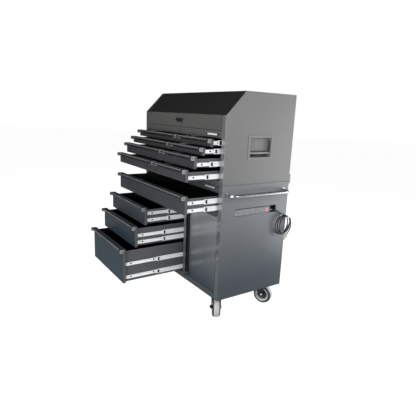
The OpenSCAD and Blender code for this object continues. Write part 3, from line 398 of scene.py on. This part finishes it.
def drawer_face(d):
    """Chooses the finish of a drawer's face, painted light included, by its place and the way it
    looks.
    """
    left, right = d["x0"] + TRAY_IN, d["x1"] - TRAY_IN

    def choose(c, n):
        if c.y < d["face"] - HAIR:
            at_end = c.x < d["x0"] + CAP or c.x > d["x1"] - CAP
            return pull_face(c, n, d["face"], at_end, along=n.x, out=n.z)
        if c.y < d["face"] + FRONT_D - FOLD:
            # The front's side returns take the lighter tray paint as painted light.
            return tray_coat_and_painted_light if abs(n.x) > STRAIGHT else front_coat_painted_shade
        beside = c.x < left - HAIR / 2 or c.x > right + HAIR / 2
        if beside and any(abs(c.z - z) < HALF_INNER + HAIR for z in d["slides"]):
            return zinc
        # The tray's hem is a painted highlight.
        if beside and c.z > d["tray_top"] - HEM - HAIR:
            return pale_rim_and_painted_highlight
        outside = ((c.x < left + HAIR and n.x < -STRAIGHT)
                   or (c.x > right - HAIR and n.x > STRAIGHT)
                   or n.z < -STRAIGHT or n.y > STRAIGHT)
        # Inner faces of the tray are painted shade.
        return tray_coat_and_painted_light if outside else painted_shade_inside
    return choose


DRAWER_FINISHES = [front_coat_painted_shade, anodised_and_cap_shade, cap_grey, zinc, tray_coat_and_painted_light, painted_shade_inside, pale_rim_and_painted_highlight,
                   painted_shade_black]
for name, d in drawers.items():
    dress(name, DRAWER_FINISHES, drawer_face(d))
print("dressed", len(drawers), "drawers")

# %% Nodes of one finish
plain = {
    cabinet_coat_painted_reflection: ["cabinet_floor", "cabinet_back", "cabinet_top", "cabinet_divider"],
    chest_coat: ["chest_floors", "chest_back", "joining_plates"],
    zinc: ["slide_rails", "cord_hook"] + [n for n in nodes if n.endswith("_mid_slides")],
    steel: ["hinge_pins", "chest_lock"],
    handle_metal: ["push_handle"],
    strip_grey: ["power_strip"],
    rocker_red: ["power_switch"],
    plug_grey: ["cord_plug"],
    fork_metal: ["caster_brackets", "front_caster_fork", "rear_caster_fork", "brake_lever"],
    cord_black: ["cord_lead", "cord_hank"],
}
for finish, names in plain.items():
    for name in names:
        dress(name, [finish], lambda c, n: finish)
print("dressed", sum(map(len, plain.values())), "nodes of one finish")

# %% Carry handles
GRIP_Z, DISH_LOW = 1055 * MM, 1035 * MM


def handle_face(c, n):
    return grip_pale if c.z < GRIP_Z else fork_metal


def dish_face(c, n):
    # Painted shade: upward faces low in the dish are black, as the shade under the grip.
    return black_plastic_and_painted_shade if n.z > STRAIGHT and c.z < DISH_LOW else dish_grey


for name in ("left_carry_handle", "right_carry_handle"):
    dress(name, [fork_metal, grip_pale], handle_face)
dress("handle_dishes", [dish_grey, black_plastic_and_painted_shade], dish_face)
print("dressed the carry handles")

# %% Sides, frame and rails
carcass_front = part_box("cabinet_right_side")[0].y
BAY_LOW, BAY_HIGH = Vector((0.467, -0.167, 0.6745)), Vector((0.498, 0.166, 0.7195))
FLUSH, POST_D = 1 * MM, 60 * MM
# A side sheet stands about 0.5 m from the middle: x times its inward normal is near -0.5.
INWARD = 0.4


def in_front(c, n):
    return n.y < -STRAIGHT and c.y < carcass_front + FLUSH


def side_face(sheet, stile):
    """Stile in front, and painted shade in black on the slope, in the strip's bay and behind the
    stile.
    """
    def choose(c, n):
        if in_front(c, n):
            return stile
        # The bay, the faces behind the stile and the slope are black as painted shade.
        in_bay = all(low < at < high for low, at, high in zip(BAY_LOW, c, BAY_HIGH))
        behind = c.y < carcass_front + POST_D and c.x * n.x < -INWARD
        sloping = n.y < -SLOPING and n.z > SLOPING
        return painted_shade_black if in_bay or behind or sloping else sheet
    return choose


# The left stiles take the shaded lip paint, and the right ones the painted reflection.
for side, stile in (("left_side", lip_coat_painted_shade), ("right_side", stile_coat_painted_reflection)):
    for part, sheet in (("chest_", chest_coat), ("cabinet_", cabinet_coat_painted_reflection)):
        dress(part + side, [sheet, stile, painted_shade_black], side_face(sheet, stile))
# Faces that do not look forward are painted black as shade.
for name, finish in (("chest_front_frame", lip_coat_painted_shade), ("cabinet_front_rails", rail_coat_painted_shade)):
    dress(name, [finish, painted_shade_black],
          lambda c, n: finish if in_front(c, n) else painted_shade_black)
print("dressed sides, frame and rails")

# %% Lid and door
SLOPE_Z = 1258 * MM
door_low, door_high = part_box("door")


def lid_face(c, n):
    """Sheet in black as a painted dark reflection, with a grey lip in front in a shaded copy of
    the chest paint, and a plastic pull before the lip.
    """
    if c.y < carcass_front - 2 * HAIR:
        return black_plastic_and_painted_shade
    low = c.z < SLOPE_Z + 2 * HAIR and c.y < carcass_front + FOLD + 3 * HAIR
    return lip_coat_painted_shade if low else painted_shade_black


def door_face(c, n):
    """Door sheet, painted lighter towards the top as a reflection, with an upright pull before
    it.
    """
    if c.y > carcass_front - HAIR:
        return door_coat_painted_reflection
    at_end = c.z < door_low.z + CAP or c.z > door_high.z - CAP
    return pull_face(c, n, carcass_front, at_end, along=n.z, out=-n.x)


dress("lid", [painted_shade_black, lip_coat_painted_shade, black_plastic_and_painted_shade], lid_face)
dress("door", [door_coat_painted_reflection, anodised_and_cap_shade, cap_grey, painted_shade_black, pale_rim_and_painted_highlight], door_face)
print("dressed lid and door")

# %% Wheels
WHEELS = {"front_right_wheel": "front_caster_fork", "rear_right_wheel": "rear_caster_fork",
          "front_left_wheel": "carcass", "rear_left_wheel": "carcass"}
TREAD_R, TYRE_R, RIM_R = 61.8 * MM, 45.9 * MM, 34.5 * MM


def centre(node):
    return sum(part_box(node), Vector()) / 2


def axle_of(wheel):
    return Vector(next(j for j in frame["joints"] if j["child"] == wheel)["axis"])


def wheel_face(middle, axle):
    """Pale tread and rim, dark tyre and hub, by the distance from the axle."""
    def choose(c, n):
        arm = c - middle
        radius = (arm - axle * arm.dot(axle)).length
        if radius > TREAD_R:
            return tread_pale
        return rim_pale if RIM_R < radius <= TYRE_R else tyre_dark
    return choose


for name in WHEELS:
    dress(name, [tread_pale, tyre_dark, rim_pale], wheel_face(centre(name), axle_of(name)))
print("finishes on", len(nodes), "nodes")

# %% [markdown]
# ## The power cord
# A round flexible lead leaves the strip's gland, hangs over to a hook and is hung up in
# four loops, with its plug hanging outside. A ring of faces could be extruded along it,
# but a curve with a round bevel is the simplest true tube. Its route follows the same
# rule as the frame's solid, in millimetres and degrees.

# %% Cord route
CORD = 7.2
CORD_D = CORD * MM
HOOK_Y, CORD_Z, LOOP_X, PITCH, LOOPS = 227.5, 645, 508, 8.2, 4
LOOP_W, LOOP_DROP, LOOP_SWAY, NARROWING = 58, 122, 14, 0.18
MORE_W, MORE_DROP = 9, 7
START, STEPS = 15 / 360, 48
TAIL_R, TAIL_LEAN, TAIL_SWING, TAIL_RUN, TAIL_END = 24, 15, 40, 75, 4
LEAD = [(497, 134, 689.3), (502, 141, 689.3), (507, 148, 688.3), (510, 157, 685.8),
        (512, 167, 681.3), (513, 178, 675.8), (513, 189, 670.3), (513, 200, 664.3),
        (512, 211, 658.8), (510, 222, 653)]


def sin(a):
    return math.sin(math.radians(a))


def cos(a):
    return math.cos(math.radians(a))


def loop_point(t):
    """Place in the hank after t turns. Width, sway and drop drift from loop to loop."""
    low = (1 - cos(360 * t)) / 2
    width = LOOP_W + MORE_W * sin(90 * t - 30)
    sway = LOOP_SWAY * sin(110 * t + 200)
    drop = LOOP_DROP + MORE_DROP * cos(150 * t)
    return Vector((LOOP_X + PITCH * t,
                   HOOK_Y + width * sin(360 * t) * (1 - NARROWING * low) + sway * low,
                   CORD_Z - drop * low))


def tail_point(a):
    """Place on the bend over the hook, from 0 to 90 degrees."""
    return Vector((LOOP_X + PITCH * LOOPS + TAIL_LEAN * (1 - cos(2 * a)) / 2,
                   HOOK_Y + TAIL_R * sin(a), CORD_Z - TAIL_R * (1 - cos(a))))


def tail_down(s):
    """Place on the hanging tail, from 0 at the bend to 1 at the plug."""
    return tail_point(90) - Vector((0, TAIL_SWING * (1 - cos(180 * s)) / 2, TAIL_RUN * s))


def rounded(points, parts=4):
    """Points on a smooth curve through the given ones."""
    p = [points[0], *points, points[-1]]
    way = []
    for a, b, c, d in zip(p, p[1:], p[2:], p[3:]):
        for k in range(parts):
            t = k / parts
            way.append(0.5 * (2 * b + (c - a) * t + (2 * a - 5 * b + 4 * c - d) * t ** 2
                              + (3 * b - a - 3 * c + d) * t ** 3))
    return way + [points[-1]]


loops = [loop_point(START + k * (LOOPS - START) / (LOOPS * STEPS - 1))
         for k in range(LOOPS * STEPS - 1)]
first_run = (loop_point(START + 2 / STEPS) - loop_point(START)).normalized() * CORD
lead = rounded([Vector(p) for p in LEAD] + [loops[0] - first_run])
tail = [tail_point(a) for a in range(0, 91, 6)]
drop = [tail_down(k / 5) for k in range(1, 6)] + [tail_down(1) - Vector((0, 0, TAIL_END))]
cord_way = [p * MM for p in lead + loops + tail + drop]
for p in cord_way:
    p.y = min(p.y, cad_box[1].y - CORD_D / 2)
print("cord route of", len(cord_way), "points")

# %% Cord
cord_curve = bpy.data.curves.new("power_cord", "CURVE")
cord_curve.dimensions = "3D"
cord_curve.bevel_depth = CORD_D / 2
cord_curve.bevel_resolution = 4
cord_curve.use_fill_caps = True
spline = cord_curve.splines.new("POLY")
spline.points.add(len(cord_way) - 1)
for point, place in zip(spline.points, cord_way):
    point.co = (*place, 1)
spline.use_smooth = True
cord = bpy.data.objects.new("power_cord", cord_curve)
bpy.context.scene.collection.objects.link(cord)
cord_curve.materials.append(cord_black.material)
cord_length = sum((b - a).length for a, b in zip(cord_way, cord_way[1:]))
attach(cord, "carcass")
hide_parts("cord_lead", "cord_hank")
print("cord of", round(cord_length, 3), "m")

# %% [markdown]
# ## Helpers for new pieces
# Each new piece starts as a primitive at its size and place, is shaped with edit
# operators and modifiers, and ends with its place in its mesh. An operator acts on all
# that is selected, so everything is deselected before a piece is worked on.

# %% Selecting and shaping
def alone(piece):
    """Makes a piece the only one that is selected."""
    bpy.ops.object.select_all(action="DESELECT")
    piece.select_set(True)
    bpy.context.view_layer.objects.active = piece


def pick(piece, kind, wanted):
    """Opens a piece in edit mode with only the wanted of its polygons or edges selected."""
    alone(piece)
    bpy.ops.object.mode_set(mode="EDIT")
    bpy.ops.mesh.select_all(action="DESELECT")
    bpy.ops.object.mode_set(mode="OBJECT")
    for part in getattr(piece.data, kind):
        part.select = wanted(part)
    bpy.ops.object.mode_set(mode="EDIT")


def bevel(piece, width, segments=2):
    alone(piece)
    bpy.ops.object.transform_apply(location=False, rotation=False, scale=True)
    edge = piece.modifiers.new("edge", "BEVEL")
    edge.width, edge.segments, edge.limit_method = width, segments, "ANGLE"
    bpy.ops.object.modifier_apply(modifier="edge")


def block(low, high, width, segments=2):
    """A block between two corners with rounded edges."""
    low, high = Vector(low), Vector(high)
    bpy.ops.object.select_all(action="DESELECT")
    bpy.ops.mesh.primitive_cube_add(size=1, location=(low + high) / 2)
    piece = bpy.context.object
    piece.scale = high - low
    bevel(piece, width, segments)
    return piece


print("shaping helpers ready")

# %% Copying and handing over
SMOOTH_BELOW = math.radians(35)


def settle(piece, name, finish, body):
    """Puts the piece's place into its mesh, names it and hands it to its body."""
    alone(piece)
    bpy.ops.object.transform_apply(location=True, rotation=True, scale=True)
    bpy.ops.object.shade_smooth_by_angle(angle=SMOOTH_BELOW)
    piece.name = piece.data.name = name
    if finish:
        piece.data.materials.clear()
        piece.data.materials.append(finish.material)
    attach(piece, body)
    return piece


def joined(pieces):
    """One piece made of several."""
    bpy.ops.object.select_all(action="DESELECT")
    for piece in pieces:
        piece.select_set(True)
    bpy.context.view_layer.objects.active = pieces[0]
    if len(pieces) > 1:
        bpy.ops.object.join()
    return pieces[0]


def copies(source, places):
    """Copies of a small part that is modelled at the origin with its head along +Z."""
    made = []
    for point, direction in places:
        piece = source.copy()
        piece.data = source.data.copy()
        bpy.context.scene.collection.objects.link(piece)
        turn = Vector((0, 0, 1)).rotation_difference(Vector(direction)).to_matrix().to_4x4()
        raised = Matrix.Translation(source.location)
        piece.matrix_world = Matrix.Translation(point) @ turn @ raised
        alone(piece)
        bpy.ops.object.transform_apply(location=True, rotation=True, scale=True)
        made.append(piece)
    return joined(made)


print("copying helpers ready")

# %% [markdown]
# ## Drawer mats
# Each drawer is lined with a ribbed black mat that lies loose on the tray's floor, and
# so is the tray under the lid. A thin block with soft edges is enough, because its ribs
# are left to the finish.

# %% Mats
TRAY_FLOOR, TRAY_BACK = (6 + 1.2) * MM, 2 * MM
MAT_T, MAT_SHY, MAT_ROUND = 3 * MM, 3 * MM, 0.8 * MM
for name, d in drawers.items():
    bed = d["z0"] + TRAY_FLOOR
    mat = block((d["x0"] + TRAY_IN + MAT_SHY, d["face"] + FRONT_D + MAT_SHY, bed + HAIR),
                (d["x1"] - TRAY_IN - MAT_SHY, d["back"] - MAT_SHY - TRAY_BACK, bed + MAT_T),
                MAT_ROUND)
    settle(mat, name.replace("_drawer", "_mat"), mat_foam, name)
TRAY_X, TRAY_Y0, TRAY_Y1 = 454 * MM, carcass_front + 32 * MM, 250 * MM
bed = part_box("chest_floors")[1].z
mat = block((-TRAY_X, TRAY_Y0, bed + HAIR), (TRAY_X, TRAY_Y1, bed + MAT_T), MAT_ROUND)
settle(mat, "tray_mat", mat_foam, "carcass")
print(len(drawers) + 1, "mats")

# %% [markdown]
# ## Painted shade behind the carry handles
# A thin black block in each dish is painted shade: it stands for the shade behind and
# below the hanging grip. It could be painted on the dish, but a thin block of its own
# shows its edges.

# %% Shade blocks
DISH_BACK, DISH_Y, PAD_T, PAD_ROUND = 475 * MM, 1.5 * MM, 2 * MM, 0.6 * MM
PAD_HALF_W, PAD_LOW, PAD_HIGH = 70 * MM, 1027 * MM, 1060 * MM
for name, way in (("left", -1), ("right", 1)):
    x0, x1 = sorted((way * (DISH_BACK + HAIR), way * (DISH_BACK + PAD_T)))
    # A black block as painted shade behind the grip.
    shade_pad = block((x0, DISH_Y - PAD_HALF_W, PAD_LOW), (x1, DISH_Y + PAD_HALF_W, PAD_HIGH),
                PAD_ROUND)
    settle(shade_pad, name + "_handle_shade_pad", black_plastic_and_painted_shade, "carcass")
print("pads made")

# %% [markdown]
# ## Screws and rivets
# Pan-head screws hold the slides to the drawers and the caps to the pulls, and flat
# rivets sit near the slides' ends. One head is a short cylinder with a hollow pressed
# into it and its rims rounded. It is modelled once for each size and then copied, because
# a copy costs no work and every head is alike.

# %% One head
HOLLOW_RIM, HOLLOW_DEPTH, HEAD_ROUND = 0.45, 0.5, 0.3


def pan_head(radius, height):
    """A head on the origin. The rim, depth and rounding are shares of its size."""
    bpy.ops.object.select_all(action="DESELECT")
    bpy.ops.mesh.primitive_cylinder_add(vertices=20, radius=radius, depth=height,
                                        location=(0, 0, height / 2))
    head = bpy.context.object
    pick(head, "polygons", lambda face: face.normal.z > STRAIGHT)
    bpy.ops.mesh.inset(thickness=radius * HOLLOW_RIM)
    bpy.ops.transform.translate(value=(0, 0, -height * HOLLOW_DEPTH))
    bpy.ops.object.mode_set(mode="OBJECT")
    bevel(head, height * HEAD_ROUND)
    return head


screw = pan_head(radius=5.2 * MM, height=1.6 * MM)
rivet = pan_head(radius=3.6 * MM, height=0.9 * MM)
cap_screw = pan_head(radius=3.2 * MM, height=0.9 * MM)
dark_screw = worn_metal("screw_dark", (0.010, 0.010, 0.011), (0.018, 0.018, 0.019), 0.4,
                        metallic=0.3)
print("heads modelled")

# %% Screws and rivets on the drawers
SLIDE_Y0, WEB, CAP_IN = 18 * MM, 1.3 * MM, 11 * MM
SCREWS_AT, RIVETS_AT = (36 * MM, 196 * MM, 452 * MM), (26 * MM, 466 * MM)


def slide_places(d, distances, u, opened=0.0):
    """Places on both sides of a drawer, at distances along each slide and u from the tray."""
    return [(Vector((x, d["face"] + SLIDE_Y0 + opened + y, z)), (way, 0, 0))
            for z in d["slides"] for y in distances
            for x, way in ((d["x0"] + TRAY_IN - u, -1), (d["x1"] - TRAY_IN + u, 1))]


for name, d in drawers.items():
    settle(copies(screw, slide_places(d, SCREWS_AT, WEB)),
           name.replace("_drawer", "_slide_screws"), dark_screw, name)
    settle(copies(rivet, slide_places(d, RIVETS_AT, WEB)),
           name.replace("_drawer", "_slide_rivets"), zinc, name)
for name, d in drawers.items():
    y, z = d["face"] - CAP_IN, d["top"] - CAP_IN
    settle(copies(cap_screw, [(Vector((d["x0"], y, z)), (-1, 0, 0)),
                              (Vector((d["x1"], y, z)), (1, 0, 0))]),
           name.replace("_drawer", "_cap_screws"), dark_screw, name)
for head in (screw, rivet, cap_screw):
    bpy.data.objects.remove(head)
print("screws on", len(drawers), "drawers")

# %% [markdown]
# ## Axle nuts
# Each wheel turns on a bolt with a hexagon nut at both ends. The nut is a cylinder of
# six sides with its rims rounded off, modelled once. A copy is turned to look away from
# its wheel, and stands further out where the brake lever lies under it.

# %% Nuts
NUT_R, NUT_H, NUT_ROUND = 9 * MM, 5 * MM, 0.8 * MM
CHEEK_OUT, LEVER_OUT = 30.1 * MM, 34.9 * MM
bpy.ops.object.select_all(action="DESELECT")
bpy.ops.mesh.primitive_cylinder_add(vertices=6, radius=NUT_R, depth=NUT_H,
                                    location=(0, 0, NUT_H / 2))
nut = bpy.context.object
bevel(nut, NUT_ROUND)
lever = centre("brake_lever")
for name, body in WHEELS.items():
    middle, axle = centre(name), axle_of(name)
    ends = []
    for way in (axle, -axle):
        braked = name == "front_right_wheel" and (lever - middle).dot(way) > 0
        ends.append((middle + way * (LEVER_OUT if braked else CHEEK_OUT), way))
    settle(copies(nut, ends), name.replace("_wheel", "_nuts"), steel, body)
bpy.data.objects.remove(nut)
print("nuts on", len(WHEELS), "wheels")

# %% [markdown]
# ## Release levers
# Near the front end of each middle slide sits a small black lever that lets the drawer
# be lifted out. Only its thumb tab shows, on the outer face of the web, in the gap
# between the middle and the outer member. The tab is a thin block whose upright edges
# are rounded off in edit mode, because a bevel of all edges alike would leave no flat.

# %% Levers
MID_WEB, TAB_GAP = 7.0 * MM, 0.02 * MM
TAB_Y, TAB_W, TAB_H, TAB_T = 13 * MM, 9 * MM, 19 * MM, 1.2 * MM
TAB_EDGE, TAB_CORNER, UPRIGHT = 0.1 * MM, 3.4 * MM, 0.6
tab = block((-TAB_H / 2, -TAB_W / 2, 0), (TAB_H / 2, TAB_W / 2, TAB_T), TAB_EDGE, segments=1)


def upright(edge):
    a, b = (tab.data.vertices[v].co for v in edge.vertices)
    return abs((a - b).z) > UPRIGHT * TAB_T


pick(tab, "edges", upright)
bpy.ops.mesh.bevel(offset=TAB_CORNER, segments=5)
bpy.ops.object.mode_set(mode="OBJECT")
for name, d in drawers.items():
    slides = name.replace("_drawer", "_mid_slides")
    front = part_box(slides)[0].y - d["face"] - SLIDE_Y0
    settle(copies(tab, slide_places(d, (TAB_Y,), MID_WEB + TAB_GAP, front)),
           name.replace("_drawer", "_levers"), black_plastic_and_painted_shade, slides)
bpy.data.objects.remove(tab)
print("levers on", len(drawers), "pairs of slides")

# %% [markdown]
# ## Badge plates
# Two small plates sit on the rails at the right: a grey rim, a black field sunk in it
# and a bright bar raised from the field. Inset, move and extrude make all three from
# one block, so the steps between them are real edges that catch the light.

# %% Plates
PLATE_T, PLATE_GAP, PLATE_ROUND, LEAST_FACE = 2.0 * MM, 0.05 * MM, 0.6 * MM, 0.0005
RIM_W, SUNK, FIELD_W, BAR_SHARE, RAISED = 2.5 * MM, 1.0 * MM, 3.0 * MM, 0.78, 0.8 * MM
BAR_OUT, BAR_IN, BAR_REACH = 1.5 * MM, 5 * MM, 0.79


def plate(name, x0, x1, z0, z1):
    """A plate on the carcass's front, with a finish for its rim, its field and its bar."""
    y = carcass_front
    piece = block((x0, y - PLATE_T, z0), (x1, y - PLATE_GAP, z1), PLATE_ROUND)
    pick(piece, "polygons", lambda f: f.normal.y < -STRAIGHT and f.area > LEAST_FACE)
    bpy.ops.mesh.inset(thickness=RIM_W)
    bpy.ops.transform.translate(value=(0, SUNK, 0))
    bpy.ops.mesh.inset(thickness=FIELD_W)
    bpy.ops.transform.resize(value=(BAR_SHARE, 1, 1))
    bpy.ops.mesh.extrude_region_move(TRANSFORM_OT_translate={"value": (0, -RAISED, 0)})
    bpy.ops.object.mode_set(mode="OBJECT")
    finishes = [pale_rim_and_painted_highlight, black_plastic_and_painted_shade, badge_metal]
    for finish in finishes:
        piece.data.materials.append(finish.material)
    half_w, half_h, rim = (x1 - x0) / 2, (z1 - z0) / 2, RIM_W - HAIR
    for face in piece.data.polygons:
        c = face.center + piece.location
        across, over = abs(c.x - (x0 + x1) / 2), abs(c.z - (z0 + z1) / 2)
        if c.y < y - BAR_OUT and over < half_h - BAR_IN and across < BAR_REACH * half_w:
            face.material_index = finishes.index(badge_metal)
        elif over < half_h - rim and across < half_w - rim:
            face.material_index = finishes.index(black_plastic_and_painted_shade)
    return settle(piece, name, None, "carcass")


plate("chest_plate", x0=307 * MM, x1=445 * MM, z0=1138 * MM, z1=1161 * MM)
plate("cabinet_plate", x0=303 * MM, x1=444 * MM, z0=834 * MM, z1=852 * MM)
print("plates made")

# %% [markdown]
# ## Floor, backdrop and light
# A studio has a pale sheet behind and under the product, and soft light from large
# lamps. The sheet is seen by the camera alone, so it stays white and takes only a faint
# shadow, and a second, dimmer ground below it is what the paint reflects. The surround
# is brightest at the right rear. Two lamps light the left side and the back, and no
# surface mirrors them, so that they leave the front as it is.

# %% Stage
SHEET_SIZE, DOME_R, GROUND_DROP = 50, 24, 1 * MM
PAPER_SCALE, PAPER_SHADE = 2.0, 0.98


def sheet_of_paper(name, colour, glow, seen):
    """Makes the newest object a sheet, for the camera alone or for all but the camera."""
    paper = Finish(name, Roughness=1.0, Emission_Strength=glow)
    shaded = [c * PAPER_SHADE for c in colour]
    paper.feed("Base Color", paper.blend(paper.noise(PAPER_SCALE), shaded, colour))
    paper.shader.inputs["Emission Color"].default_value = (1, 1, 1, 1)
    stage = bpy.context.object
    stage.name = stage.data.name = name
    stage.data.materials.append(paper.material)
    stage.visible_camera = seen
    stage.visible_diffuse = stage.visible_glossy = stage.visible_transmission = not seen
    stage.visible_shadow = False


bpy.ops.object.select_all(action="DESELECT")
bpy.ops.mesh.primitive_plane_add(size=SHEET_SIZE, location=(0, 0, 0))
sheet_of_paper("floor", (0.20, 0.20, 0.20), glow=0.97, seen=True)
bpy.ops.object.select_all(action="DESELECT")
bpy.ops.mesh.primitive_uv_sphere_add(radius=DOME_R, segments=48, ring_count=24)
sheet_of_paper("backdrop", (0.1, 0.1, 0.1), glow=1.0, seen=True)
bpy.ops.object.select_all(action="DESELECT")
bpy.ops.mesh.primitive_plane_add(size=SHEET_SIZE, location=(0, 0, -GROUND_DROP))
sheet_of_paper("ground", (0.42, 0.44, 0.46), glow=0.0, seen=False)
print("stage set")

# %% Light
BRIGHT_SIDE, MEAN_GLOW, GLOW_SWING = (0.68, 0.55, -0.15), 0.62, 0.45
world = bpy.data.worlds.new("surround")
bpy.context.scene.world = world
world.use_nodes = True
sky = Tree(world.node_tree)
aim = sky.add("ShaderNodeVectorMath", {"operation": "DOT_PRODUCT"},
              {0: sky.add("ShaderNodeTexCoord", out="Generated"), 1: BRIGHT_SIDE},
              out="Value")
glow = MEAN_GLOW + GLOW_SWING * aim
sky.tree.links.new(glow.socket, world.node_tree.nodes["Background"].inputs["Strength"])


def area_light(name, place, aim, size, watts, mirrored=True):
    data = bpy.data.lights.new(name, "AREA")
    data.shape, data.size, data.energy = "DISK", size, watts
    light = bpy.data.objects.new(name, data)
    light.location = place
    light.visible_camera, light.visible_glossy = False, mirrored
    light.rotation_euler = (Vector(aim) - Vector(place)).to_track_quat("-Z", "Y").to_euler()
    bpy.context.scene.collection.objects.link(light)


area_light("key", (3.2, 0.5, 2.0), (0.3, 0, 0.9), size=2.4, watts=54)
area_light("rear", (1.9, 3.0, 0.6), (0.5, 0.2, 0.6), size=2.6, watts=72)
area_light("low_rear", (1.0, 0.95, 0.3), (0.5, 0.25, 0.35), size=0.5, watts=2.2)
area_light("left", (-3.4, 0.3, 1.2), (-0.4, 0, 0.8), size=1.2, watts=40, mirrored=False)
area_light("back", (0.2, 3.5, 1.4), (0, 0.2, 0.8), size=2.4, watts=60, mirrored=False)
area_light("fill", (1.6, -3.6, 1.0), (0, -0.3, 0.8), size=2.0, watts=120)
area_light("top", (0.2, -1.2, 3.4), (0, 0, 0.8), size=2.0, watts=30)
bpy.context.scene.view_settings.view_transform = "Standard"
print("lights set")
